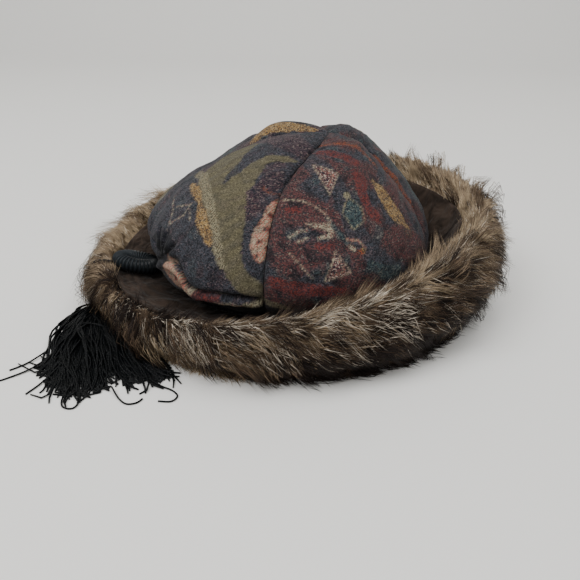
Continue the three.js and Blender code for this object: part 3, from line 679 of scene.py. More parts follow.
DASHES = {
    "gore_front_left": table(
        "yarn path wide",
        ("cream", [(-17, 84), (-6, 77), (0, 67), (10, 78), (9, 87), (-4, 80)], 0.8),
        ("cream", [(12, 83), (19, 77)], 0.9),
        ("cream", [(-4, 35), (-1, 30), (4, 28), (9, 31), (8, 35)], 0.6),
        ("cream", [(-8, 30), (-4, 26), (2, 24)], 0.5),
    ),
    "gore_front_right": table(
        "yarn path wide",
        ("rose", [(-23, 130), (-15, 123), (-20, 114)], 0.6),
        ("rose", [(-30, 61), (-27, 54), (-36, 52)], 0.6),
        ("cream", [(-53, 106), (-41, 104.5), (-32, 98), (-28, 92), (-27, 86)], 0.9),
        ("cream", [(-57, 78), (-50, 82), (-44, 83)], 1.4),
        ("cream", [(-52, 75), (-45, 78)], 1.2),
        ("cream", [(-60, 68), (-54, 58), (-49, 50)], 0.8),
        ("pale", [(-10, 102), (-17, 92), (-13, 80), (-2, 84), (-1, 94), (-8, 102)], 0.8),
        ("rose", [(-20, 74), (-12, 72), (-8, 66)], 0.9),
    ),
    "gore_back_right": table(
        "yarn path wide",
        ("pale", [(58, 94), (72, 92), (74, 76), (60, 74), (57, 90)], 0.8),
    ),
    "gore_back_left": table(
        "yarn path wide",
        ("cream", [(50, 96), (62, 84), (50, 76)], 0.9),
    ),
}
# The ground of each gore: its yarn, the yarn of its large patches, and above what level these lie
GROUNDS = {
    "gore_front_left": ("slate", "plum", 0.7),
    "gore_front_right": ("slate", "wine", -0.3),
    "gore_back_right": ("slate", "wine", 0.2),
    "gore_back_left": ("slate", "plum", 0.2),
}
# Small blotches of other yarns all over the ground
BLOTCHES = table(
    "yarn size seed level amount",
    ("night", 15, 41, 0.4, 0.7),
    ("teal", 19, 71, 0.6, 0.6),
    ("wine", 12, 91, 0.72, 0.55),
)
# From the start of one dash to the next
DASH_LENGTH = 3.1
# Lines of painted shadow and of black piping on the cloth: path, half width and how black. The
# fold's line, the creases of the gathers and the low cloth down in the gap by the brim are painted
# shadow; the line under the fold's strip is partly the cloth's black piping and partly painted shadow
SHADOWS_AND_PIPING = {
    "gore_front_left": table(
        "path wide dark",
        # Painted shadow along the fold
        (FOLD_LINE, 0.9, 0.85),
        # Under the fold's strip: partly the cloth's black piping and partly painted shadow
        ([(-30, 17), (0, 20), (14, 22.5), (30, 23), (60, 24), (89, 26)], 2.0, 0.97),
        # Painted shade over the low cloth, down in the gap by the brim
        ([(-30, 8), (60, 12), (89, 14)], 10, 0.9),
        # Painted shade in the creases of the gathers beside the knot
        ([(6, 46), (-10, 60)], 1.1, 0.75),
        ([(7, 46), (4, 63)], 1.0, 0.7),
        ([(10, 46), (19, 60)], 1.1, 0.75),
        ([(4, 45), (-16, 47)], 1.2, 0.75),
        ([(12, 44), (27, 50)], 1.0, 0.7),
        ([(7, 43), (-10, 35)], 1.2, 0.75),
    ),
    "gore_front_right": table(
        "path wide dark",
        # Painted shade over the low cloth, down in the gap by the brim
        ([(-90, 14), (-74, 20), (-50, 20), (0, 20), (60, 18)], 7, 0.9),
    ),
}
# Triangles of the cloth, filled with hatching inside a dashed outline
TRIANGLES = {
    "gore_front_right": [
        [(-27, 136), (-11, 123.5), (-21, 107)],
        [(-30, 67), (-23, 52), (-42, 48.5)],
    ],
    "gore_back_right": [
        [(36, 134), (52, 122), (42, 108)],
        [(-58, 56), (-44, 68), (-38, 50)],
    ],
    "gore_back_left": [[(-20, 60), (-6, 50), (-22, 44)]],
}


def oval_cover(oval, x, y):
    """Distance outside the edge of a leaf with pointed ends, and less than zero inside."""
    turn = math.radians(oval["turn"])
    along = (x - oval["at"][0]) * math.cos(turn) + (y - oval["at"][1]) * math.sin(turn)
    across = (y - oval["at"][1]) * math.cos(turn) - (x - oval["at"][0]) * math.sin(turn)
    long_half, wide_half = oval["size"]
    share = np.clip(np.abs(along) / long_half, 0, 1)
    rim = wide_half * (1 - share**2) ** 0.75
    return np.maximum(np.abs(across) - rim, np.abs(along) - long_half)


def triangle_cover(corners, x, y):
    """The same for a triangle."""
    turned = (corners[1][0] - corners[0][0]) * (corners[2][1] - corners[0][1])
    turned -= (corners[1][1] - corners[0][1]) * (corners[2][0] - corners[0][0])
    worst = np.full(x.shape, -np.inf)
    for (x0, y0), (x1, y1) in zip(corners, corners[1:] + corners[:1]):
        across = (x - x0) * (y1 - y0) - (y - y0) * (x1 - x0)
        worst = np.maximum(worst, across / math.hypot(x1 - x0, y1 - y0) * math.copysign(1, turned))
    return worst


def weave_colours(gore, x, y):
    """Three yarn colours for each place of the cloth, and their shares and stripes."""
    name = gore["name"]
    places = np.stack([x, y], -1)
    base, blot, level = GROUNDS[name]
    colours = {key: np.zeros(x.shape + (3,)) for key in ("main", "fleck", "spark")}
    shares = np.zeros(x.shape + (3,))

    def lay(mask, yarn):
        row = YARNS[yarn]
        amount = mask[..., None]
        for key, colour in colours.items():
            colour += amount * (np.array(screen(*row[key])) - colour)
        shares[...] += amount * (np.array([row["share"], row["sparks"], STRIPED.get(yarn, 0)]) - shares)

    def inside(distance, soft):
        return 1 - smoothstep(distance, -soft, soft)

    lay(np.ones(x.shape), base)
    ragged = 0.7 * ripple(places, 2.6, 5) + 0.6 * ripple(places, 6, 6)
    lay(smoothstep(ripple(places, 34, 11 + gore["from"]) + 0.25 * ragged, level - 0.35, level + 0.25), blot)
    for blotch in BLOTCHES:
        patch = ripple(places, blotch["size"], blotch["seed"] + gore["to"]) + 0.2 * ragged
        amount = blotch["amount"] * (0.45 if name == "gore_front_left" else 1)
        lay(smoothstep(patch, blotch["level"], blotch["level"] + 0.4) * amount, blotch["yarn"])
    uneven = 0.86 + 0.14 * ripple(places, 8, 9)
    for stem in STEMS.get(name, []):
        distance, _ = to_path(stem["path"], x, y)
        lay(inside(distance + ragged * 0.6, 0.6) * uneven, stem["yarn"])
    for oval in OVALS.get(name, []):
        leaf = inside(oval_cover(oval, x, y) + 0.35 * ragged, 0.5)
        lay(leaf, oval["yarn"])
        if oval["yarn"] == "rose":
            lay(leaf * smoothstep(ripple(places, 9, 77), 0.1, 0.6) * 0.8, "cream")
            lay(leaf * smoothstep(ripple(places, 7, 78), 0.6, 0.9) * 0.8, "red")
    dashes = []
    for corners in TRIANGLES.get(name, []):
        lay(inside(triangle_cover(corners, x, y) + 0.4 * ragged, 0.7), "hatch")
        dashes += table("yarn path wide", ("cream", corners + corners[:1], 0.8))
    for dash in dashes + DASHES.get(name, []):
        distance, run = to_path(dash["path"], x, y)
        broken = 0.35 + 0.65 * smoothstep(np.sin(run * 2 * math.pi / DASH_LENGTH + 2 * ragged), -0.3, 0.4)
        wide = dash["wide"] * 0.8
        lay(0.9 * broken * (1 - smoothstep(distance + 0.35 * ragged, wide - 0.5, wide + 0.5)), dash["yarn"])
    # Painted shadow and the black piping, laid in the black yarn
    for dark_line in SHADOWS_AND_PIPING.get(name, []):
        distance, _ = to_path(dark_line["path"], x, y)
        wide = dark_line["wide"]
        lay(dark_line["dark"] * (1 - smoothstep(distance, wide - 0.5, wide + 0.9)), "black")
    painted = {"yarn_" + key: with_alpha(colour.reshape(-1, 3)) for key, colour in colours.items()}
    return {**painted, "weave": shares.reshape(-1, 3)}


def join_edges(fine, coarse):
    """Triangles between a row of points and a row with fewer, along the same line."""
    faces = []
    passed = 0
    for step in range(len(fine) - 1):
        share = (step + 0.5) / (len(fine) - 1)
        while passed < len(coarse) - 1 and (passed + 0.5) / (len(coarse) - 1) < share:
            faces.append((coarse[passed], coarse[passed + 1], fine[step]))
            passed += 1
        faces.append((fine[step + 1], fine[step], coarse[passed]))
    while passed < len(coarse) - 1:
        faces.append((coarse[passed], coarse[passed + 1], fine[-1]))
        passed += 1
    return faces


# How many times coarser the inner face is woven
INNER_COARSER = 6


def panel_faces(at):
    """Quads between the numbered rows of a panel, and triangles up to the one point at its top."""
    a, b, c, d = at[:-2, :-1], at[:-2, 1:], at[1:-1, 1:], at[1:-1, :-1]
    quads = np.stack([a, b, c, d], -1).reshape(-1, 4)
    top = np.stack([at[-2, :-1], at[-2, 1:], at[-1, 1:]], -1)
    return quads, top


def make_gore(gore):
    """One panel of the crown: a finely woven outer face and a plain inner one, 2 mm inside."""
    wide = math.radians(gore["to"] - gore["from"]) * (SEAM_RADIUS + CROWN_OVERHANG)
    columns, rows = int(wide / gore["step"]), int(SIDE_RUN[-1] / gore["step"])
    in_rows, in_columns = rows // INNER_COARSER, columns // INNER_COARSER

    def face(row_count, column_count, inset):
        bearing = np.linspace(gore["from"], gore["to"], column_count)[None, :]
        along = np.interp(np.linspace(0, SIDE_RUN[-1], row_count), SIDE_RUN, SIDE_STEPS)[:, None]
        points, x, y = crown_points(gore, *np.broadcast_arrays(bearing, along), inset)
        # The last row meets in one point at the top, which is kept once
        keep = (row_count - 1) * column_count + 1
        return points.reshape(-1, 3)[:keep], x.ravel()[:keep], y.ravel()[:keep]

    def numbered(row_count, column_count, start):
        rest = start + np.arange((row_count - 1) * column_count).reshape(row_count - 1, column_count)
        top = np.full((1, column_count), start + (row_count - 1) * column_count)
        return np.concatenate([rest, top])

    outer, x, y = face(rows, columns, 0)
    inner, in_x, in_y = face(in_rows, in_columns, CROWN_WALL)
    outer_at = numbered(rows, columns, 0)
    inner_at = numbered(in_rows, in_columns, len(outer))
    rim = join_edges(outer_at[0], inner_at[0])
    rim += [corners[::-1] for corners in join_edges(outer_at[:, 0], inner_at[:, 0])]
    rim += join_edges(outer_at[:, -1], inner_at[:, -1])
    cloth = np.stack([np.append(x, in_x), np.append(y, in_y), np.full(len(x) + len(in_x), gore["from"])], 1)
    outside, inside = weave_colours(gore, x, y), weave_colours(gore, in_x, in_y)
    attributes = {key: np.concatenate([outside[key], inside[key]]) for key in outside}
    piece = make_piece(
        "crown_" + gore["name"].split("_", 1)[1],
        np.concatenate([outer, inner]),
        [*panel_faces(outer_at), *(corners[:, ::-1] for corners in panel_faces(inner_at)), rim],
        {**attributes, "cloth": cloth},
    )
    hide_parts(gore["name"])
    return piece


# The brim
def brim_at(bearing, name):
    """How far out and how far up a named place of the brim lies at each bearing."""
    position = (np.asarray(bearing, float) % 360) / 360 * len(BRIM_ROWS)
    out = smooth_at([row[name][0] for row in BRIM_ROWS], position, True)
    high = smooth_at([row[name][1] for row in BRIM_ROWS], position, True)
    return SEAM_RADIUS + out * BRIM_REACH, np.maximum(high, 0) * BRIM_RISE


def facing_points(bearing, along, raised):
    """The brim's inner side from the crown's seam (0) to the facing's edge (1), raised off it."""
    edge_out, edge_up = brim_at(bearing, "edge")
    start_out, start_up = SEAM_RADIUS + FACING_GAP, LEDGE_HEIGHT
    elbow_out = start_out + FACING_ELBOW[0] * (edge_out - start_out)
    elbow_up = start_up + FACING_ELBOW[1] * (edge_up - start_up)
    back = 1 - along
    out = back**2 * start_out + 2 * back * along * elbow_out + along**2 * edge_out
    high = back**2 * start_up + 2 * back * along * elbow_up + along**2 * edge_up
    run_out = 2 * back * (elbow_out - start_out) + 2 * along * (edge_out - elbow_out)
    run_up = 2 * back * (elbow_up - start_up) + 2 * along * (edge_up - elbow_up)
    length = np.hypot(run_out, run_up)
    lift = raised
    for fold in FACING_FOLDS:
        turn = turn_between(bearing, fold["bearing"] + fold["turn"] * (along - 0.5))
        lift = lift + FACING_FOLD * fold["height"] * bell(turn, fold["spread"]) * np.sin(math.pi * along)
    return polar(out - run_up / length * lift, bearing, high + run_out / length * lift) + AXIS


def make_facing():
    """The plain cloth on the brim's inner side, with the small wrinkles that its folds end in."""
    columns, rows = 420, 26
    bearing = np.linspace(0, 360, columns, endpoint=False)[None, :]
    along = np.linspace(0, 1, rows)[:, None]
    bearing, along = np.broadcast_arrays(bearing, along)
    flat = facing_points(bearing, along, 0.0)
    places = np.stack([np.radians(bearing) * 120, along * 55], -1)
    slant = places @ np.array([[0.9, -0.5], [0.5, 0.8]])
    waves = 0.9 * ripple(slant, 26, 21) + 0.4 * ripple(places, 12, 22)
    free = smoothstep(along, 0.0, 0.18) * (1 - smoothstep(along, 0.9, 1.0))
    relief = np.minimum(waves * free, 0.4) * MM
    lower = facing_points(bearing, along, SEAM_GAP)
    upper = facing_points(bearing, along, SEAM_GAP + FACING_WALL + relief)
    places = np.concatenate([places, places[::-1]]).reshape(-1, 2)
    piece = make_piece(
        "facing",
        np.concatenate([lower, upper[::-1]]).reshape(-1, 3),
        [ring_quads(2 * rows, columns, closed=True)],
        {"cloth": np.concatenate([places, np.zeros((len(places), 1))], 1)},
    )
    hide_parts("brim_facing")
    inner, outer = SEAM_RADIUS + FACING_GAP, brim_at(bearing[0], "edge")[0].mean()
    return piece


# The fur's outside as a grid over bearing and height, which runs on past its foot and its edge
PILE_COLUMNS = 360
PILE_LOW, PILE_HIGH = -0.35, 1.45
PILE_ROWS = 91


def pile_profile(bearing, along):
    """Out and up of the fur's outside from its foot (0) over belly and crest to its edge (1)."""
    keys = ("foot", "belly", "crest", "edge")
    corners = np.stack([np.stack(brim_at(bearing, key), -1) for key in keys], 1)
    before = 2 * corners[:, :1] - corners[:, 1:2]
    after = 2 * corners[:, 3:] - corners[:, 2:3]
    corners = np.concatenate([before, corners, after], axis=1)
    spans = np.linalg.norm(np.diff(corners, axis=1), axis=-1) ** 0.5
    position = np.clip(along, 0, 1) * 3
    part = min(int(position), 2)
    t = position - part
    p0, p1, p2, p3 = (corners[:, part + step] for step in range(4))
    d0, d1, d2 = (spans[:, part + step][:, None] for step in range(3))
    start = ((p1 - p0) / d0 - (p2 - p0) / (d0 + d1) + (p2 - p1) / d1) * d1
    end = ((p2 - p1) / d1 - (p3 - p1) / (d1 + d2) + (p3 - p2) / d2) * d1
    c2 = -3 * p1 + 3 * p2 - 2 * start - end
    c3 = 2 * p1 - 2 * p2 + start + end
    place = p1 + start * t + c2 * t**2 + c3 * t**3
    heading = start + 2 * c2 * t + 3 * c3 * t**2
    return place, unit(heading)


def pile_grid():
    """Points and outward normals of the fur's outside, and its length from foot to edge."""
    bearing = np.arange(PILE_COLUMNS) * 360 / PILE_COLUMNS
    samples = np.stack([pile_profile(bearing, t)[0] for t in np.linspace(0, 1, 40)])
    lengths = np.linalg.norm(np.diff(samples, axis=0), axis=-1).sum(0)
    rows = []
    for along in np.linspace(PILE_LOW, PILE_HIGH, PILE_ROWS):
        place, heading = pile_profile(bearing, along)
        beyond = lengths * max(-along, along - 1, 0)
        if along < 0:
            place = place + np.stack([beyond, 0 * beyond], -1)
        elif along > 1:
            place = place + heading * beyond[:, None]
        rows.append(polar(place[:, 0], bearing, np.maximum(place[:, 1], 0)))
    grid = np.stack(rows) + AXIS
    upward = unit(np.gradient(grid, axis=0))
    round_the_rim = unit(np.roll(grid, -1, axis=1) - np.roll(grid, 1, axis=1))
    return grid, unit(np.cross(round_the_rim, upward)), lengths


PILE, PILE_NORMAL, PILE_LENGTH = pile_grid()


def on_pile(bearing, along):
    """Points and outward normals of the fur's outside."""
    column = (bearing % 360) / 360 * PILE_COLUMNS
    row = np.clip((along - PILE_LOW) / (PILE_HIGH - PILE_LOW), 0, 0.9999) * (PILE_ROWS - 1)
    c0, r0 = np.floor(column).astype(int), np.floor(row).astype(int)
    fc, fr = (column - c0)[:, None], (row - r0)[:, None]
    c0 = c0 % PILE_COLUMNS
    c1 = (c0 + 1) % PILE_COLUMNS

    def pick(grid):
        low = grid[r0, c0] * (1 - fc) + grid[r0, c1] * fc
        high = grid[r0 + 1, c0] * (1 - fc) + grid[r0 + 1, c1] * fc
        return low * (1 - fr) + high * fr

    return pick(PILE), unit(pick(PILE_NORMAL))


def hair_row(bearing, key, index=None):
    """A value of HAIR_ROWS at each bearing, or the one at an index where it has several."""
    position = (bearing % 360) / 360 * len(HAIR_ROWS)
    values = [row[key] if index is None else row[key][index] for row in HAIR_ROWS]
    return smooth_at(values, position, True)


def darkness(bearing, along):
    """How dark the hair is, from tan (0) to nearly black (1)."""
    shares = np.stack([hair_row(bearing, "dark", index) for index in range(4)])
    position = np.clip(along, 0, 1) * 3
    low = np.minimum(position.astype(int), 2)
    t = position - low
    pick = np.arange(len(bearing))
    return shares[low, pick] * (1 - t) + shares[low + 1, pick] * t


# How deep the underfur lies below the fur's outside
SKIN_DEPTH = 7.5 * MM


def make_pelt():
    """The dense underfur below the hair: a closed ring, sunk in from the fur's outside."""
    columns, rows = 360, 26
    bearing = np.linspace(0, 360, columns, endpoint=False)
    sections = []
    for along in np.linspace(0, 1, rows):
        point, normal = on_pile(bearing, np.full(columns, along))
        waves = 1 + 0.35 * ripple(point, 14 * MM, 31) + 0.2 * ripple(point, 5 * MM, 32)
        thinner = smoothstep(along, -0.02, 0.12) * (1 - 0.75 * smoothstep(along, 0.9, 1))
        place = point - normal * (SKIN_DEPTH * waves * thinner)[:, None]
        place[:, 2] = np.maximum(place[:, 2], 0)
        sections.append(place)
    for along in np.linspace(1, 0, 10)[1:]:
        sections.append(facing_points(bearing, np.full(columns, along), -0.2 * MM))
    sections.append(polar(HEAD_RADIUS, bearing, LEDGE_HEIGHT) + AXIS)
    sections.append(polar(HEAD_RADIUS, bearing, 0.0) + AXIS)
    points = np.stack(sections)
    count = len(points)
    quads = ring_quads(count, columns, closed=True)
    level = np.tile(bearing, count)
    along = np.concatenate([np.repeat(np.linspace(0, 1, rows), columns), np.ones((count - rows) * columns)])
    shade = 0.35 + 0.6 * darkness(level, along)
    colours = fur_colour(np.clip(shade, 0, 1)) * 0.55
    piece = make_piece("pelt", points.reshape(-1, 3), [quads], {"fur_tone": with_alpha(colours)})
    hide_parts("fur_brim")
    return piece


def fur_colour(shade):
    """From tan (0) over brown to nearly black (1)."""
    tan, dark = np.array(screen(*FUR_TAN)), np.array(screen(*FUR_DARK))
    brown = np.array(screen(*FUR_BROWN))
    shade = np.asarray(shade)[..., None]
    return np.where(shade < 0.5, tan + (brown - tan) * shade * 2, brown + (dark - brown) * (shade * 2 - 1))


# Hair by pieces of the brim, with the number of locks that each holds
HAIR_PIECES = table(
    "name from to locks",
    ("hair_front_left", 196, 262, 1000),
    ("hair_front_right", 262, 328, 1080),
    ("hair_right", -32, 48, 1080),
    ("hair_back", 48, 122, 800),
    ("hair_left", 122, 196, 800),
)
HAIRS_IN_LOCK = 20
# Layers of hair, which are underfur, guard hair, pale-tipped locks and strays: the share of the
# locks, length, how far the tips stand off as a share of that, how deep the roots lie, how far the
# whole lock is settled, spread, how far it gathers to its tip, thickness, how far its tips turn pale
# (frost: partly the fur's own pale tips and partly painted highlight for the shine of guard
# hairs), and how much darker or paler it grows from its root over its middle to its tip
HAIR_LAYERS = table(
    "share length stand root settle spread pull thick frost shades",
    (0.4, 16, 0.14, 7, 1.8, 4.4, 0.55, 0.62, 0.0, (0.25, -0.12, -0.1)),
    (0.4, 27, 0.16, 7, 0.9, 3.3, 0.09, 0.52, 0.2, (0.3, 0.0, 0.34)),
    (0.13, 17, 0.12, 3.0, 0.2, 5.0, 0.6, 0.46, 1.3, (0.2, -0.15, -0.1)),
    (0.07, 32, 0.52, 5, 0.3, 4.0, 0.22, 0.4, 0.0, (0.2, 0.15, 0.6)),
)
# How far the hair may run over the facing, and on along the surface below the foot
EDGE_OVER = 5 * MM
FOOT_OVER = 8 * MM
# How far the tips may stand off the fur's outside
MOST_LIFT = 15 * MM


# How far patches of locks swirl and single locks stray from the flow, in degrees
SWIRL, STRAYING = 16, 10
# How much darker or paler locks are than their place, by patches and one by one, and how much
# paler all of them are
SHADE_PATCH, SHADE_SPREAD, SHADE_PALER = 0.22, 0.32, 0.06


def make_hair(part, seed):
    """One stretch of the brim's hair: locks whose hairs run together towards a common tip."""
    draw = np.random.default_rng(seed)
    hairs = []
    for layer in HAIR_LAYERS:
        hairs += make_locks(part, layer, int(part["locks"] * layer["share"]), draw)
    return spindles(part["name"], [np.concatenate(column) for column in zip(*hairs)], draw)


def kept_within(length, climb, room):
    """Lengths cut down where they would climb further than there is room."""
    return length * np.minimum(1, np.where(climb > 0, room / np.maximum(climb, 1e-6), 1))


def make_locks(part, layer, locks, draw):
    """Hair by hair of each lock: root, middle, tip, thickness and the colours at those three."""
    bearing = draw.uniform(part["from"], part["to"], locks)
    along = draw.uniform(0.03, 1.03, locks)
    flow_low, flow_high = hair_row(bearing, "flow", 0), hair_row(bearing, "flow", 1)
    place, _ = on_pile(bearing, along)
    swirl = SWIRL * ripple(place, 34 * MM, 51)
    flow = flow_low + (flow_high - flow_low) * along + swirl + draw.normal(0, STRAYING, locks)
    flow = np.radians(flow)
    columns = np.arange(PILE_COLUMNS + 1) * 360 / PILE_COLUMNS
    slope = np.interp(bearing % 360, columns, np.append(PILE_LENGTH, PILE_LENGTH[0]))
    over = EDGE_OVER * hair_row(bearing, "over")
    near_cloth = smoothstep(along, 0.75, 1.0)
    length = layer["length"] * MM * draw.uniform(0.75, 1.2, locks) * (1 - 0.4 * near_cloth)
    climb = -length * np.cos(flow)
    length = kept_within(length, climb, np.maximum((1 - along) * slope + over, 2 * MM))
    length = kept_within(length, -climb, along * slope + FOOT_OVER)
    stand = layer["stand"] * draw.uniform(0.2, 1.5, locks) * (0.45 + 0.8 * hair_row(bearing, "wild"))
    cover = CORD_COVER["lift"] * bell(turn_between(bearing, CORD_COVER["bearing"]), CORD_COVER["spread"])
    patch = SHADE_PATCH * ripple(place, 20 * MM, 52)
    shade = darkness(bearing, along) - SHADE_PALER + patch + draw.normal(0, SHADE_SPREAD, locks)
    frost_and_glint_chance = hair_row(bearing, "frost") * smoothstep(along, 0.28, 0.6) * draw.uniform(0, 1, locks) ** 0.7
    frost_and_glint_chance = frost_and_glint_chance * layer["frost"]
    spread = layer["spread"] * MM
    radius = np.hypot(*(place - AXIS)[:, :2].T)
    most = 1 + over / slope

    def placed(t, across, upward):
        """Bearing and height of a point t of the way along each lock, moved off its middle."""
        turn = np.degrees((length * np.sin(flow) * t + across) / radius)
        risen = (-length * np.cos(flow) * t + upward) / slope
        return bearing + turn, np.minimum(along + risen, most)

    hairs = []
    for _ in range(HAIRS_IN_LOCK):
        across, upward = draw.normal(0, spread, locks), draw.normal(0, spread, locks)
        reach = draw.uniform(0.72, 1.06, locks)
        pull = layer["pull"] * draw.uniform(0.5, 1.5, locks)
        lift = length * stand * draw.uniform(0.6, 1.3, locks) + cover
        points = []
        for t in (0.0, 0.5, 1.0):
            gather = 1 - (1 - pull) * t
            place, out = on_pile(*placed(t * reach, across * gather, upward * gather))
            height = -layer["root"] * MM * (1 - t) ** 1.6 + lift * t**1.4 - layer["settle"] * MM
            height = np.minimum(height + draw.normal(0, 0.5 * MM, locks), MOST_LIFT)
            points.append(place + out * height[:, None])
        points[1] = points[1] + draw.normal(0, 0.6 * MM, (locks, 3))
        points[2] = points[2] + draw.normal(0, 1.0 * MM, (locks, 3))
        for place in points[1:]:
            place[:, 2] = np.maximum(place[:, 2], draw.uniform(0.3, 1.2, locks) * MM)
        own_shade = shade + draw.normal(0, 0.1, locks)
        bright = draw.uniform(0.8, 1.2, locks)[:, None]
        shades = (np.clip(own_shade + change, 0, 1) for change in layer["shades"])
        root, middle, tip = (fur_colour(value) * bright for value in shades)
        # Pale tips: partly the fur's own silver tips and partly painted highlight for the shine of guard
        # hairs
        frost = (draw.uniform(0, 1, locks) < frost_and_glint_chance)[:, None]
        white = np.array(screen(*FUR_FROST_AND_GLINT)) * draw.uniform(0.75, 1.15, locks)[:, None]
        middle = np.where(frost, middle * 0.3 + white * 0.7, middle)
        tip = np.where(frost, white, tip)
        thick = layer["thick"] * MM * draw.uniform(0.7, 1.25, locks)
        hairs.append((*points, thick, root * 0.8, middle, tip))
    return hairs


def spindles(name, hairs, draw):
    """Closed hairs of six faces each: a point, three corners part of the way, and a point."""
    root, middle, tip, thick, root_tint, middle_tint, tip_tint = hairs
    count = len(root)
    side = unit(np.cross(unit(tip - root), draw.normal(size=(count, 3))))
    over = np.cross(unit(tip - root), side)
    third = 2 * math.pi / 3
    corners = [
        middle + (side * math.cos(angle) + over * math.sin(angle)) * (thick / 2)[:, None]
        for angle in (0, third, 2 * third)
    ]
    points = np.stack([root, *corners, tip], 1).reshape(-1, 3)
    points[:, 2] = np.maximum(points[:, 2], 0.1 * MM)
    faces = np.array([(0, 2, 1), (0, 3, 2), (0, 1, 3), (1, 2, 4), (2, 3, 4), (3, 1, 4)])
    faces = (faces[:, None] + 5 * np.arange(count)[:, None]).reshape(-1, 3)
    colours = np.stack([root_tint, middle_tint, middle_tint, middle_tint, tip_tint], 1).reshape(-1, 3)
    return make_piece(name, points, [faces], {"fur_tone": with_alpha(colours)})


# The knot and the tassel
def knot_frame():
    """The knot's middle on the facing and the ways along, round and off it."""
    bearing = np.array([float(KNOT_SEAT["bearing"])])

    def facing(along):
        return facing_points(bearing, np.array([along]), 0.0)[0]

    seat = facing(KNOT_SEAT["along"])
    ahead = unit(facing(KNOT_SEAT["along"] + 0.2) - seat)
    across = polar(1.0, bearing + 90, 0.0)[0]
    normal = unit(np.cross(ahead, across))
    normal = normal if normal[2] > 0 else -normal
    ends = [facing(KNOT_SEAT["along"] + side * KNOT_SEAT["half_along"]) for side in (-1, 1)]
    rests = [np.dot(end - seat, normal) for end in ends]
    seat = seat + normal * (max(0, *rests) + FACING_WALL + 3 * SEAM_GAP + KNOT_HEIGHT / 2)
    return seat, ahead, across, normal


def make_knot():
    """An oval ring wound with thread: each turn is a rib, and fine threads run along the turns."""
    seat, ahead, across, normal = knot_frame()
    around, sides = KNOT_TURNS * 14, 30
    angle = np.arange(around)[:, None] / around * 2 * math.pi
    turn = np.arange(sides)[None, :] / sides * 2 * math.pi
    uneven = 0.25 * ripple(np.stack([np.cos(angle), np.sin(angle)], -1), 1.2, 61)
    phase = KNOT_TURNS * angle + 2.2 * uneven + 0.5 * np.sin(turn)
    rib = KNOT_GROOVE * (1 - np.abs(np.cos(phase / 2)) ** 0.8) + KNOT_GRAIN * (1 + np.sin(phase * 3))
    outward = (1 + np.cos(turn)) / 2
    inner_long, inner_wide = (KNOT_LENGTH - KNOT_BREADTH) / 2 + KNOT_SLIT, KNOT_SLIT
    reach_long = inner_long + (KNOT_LENGTH / 2 - inner_long - rib) * outward
    reach_wide = inner_wide + (KNOT_BREADTH / 2 - inner_wide - rib) * outward
    high = (KNOT_HEIGHT / 2 - rib) * np.sin(turn)
    points = (
        seat
        + (reach_long * np.cos(angle))[..., None] * ahead
        + (reach_wide * np.sin(angle))[..., None] * across
        + high[..., None] * normal
    )
    quads = ring_quads(around, sides, closed=True)
    if np.dot(np.cross(ahead, across), normal) > 0:
        quads = quads[:, ::-1]
    strand = np.broadcast_to(phase / (2 * math.pi), (around, sides)).ravel()
    piece = make_piece("wound_knot", points.reshape(-1, 3), [quads], {"strand": strand})
    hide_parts("knot")
    return piece


def fan_reach(bearing):
    return np.interp(bearing, list(FAN_REACH), list(FAN_REACH.values())) * MM


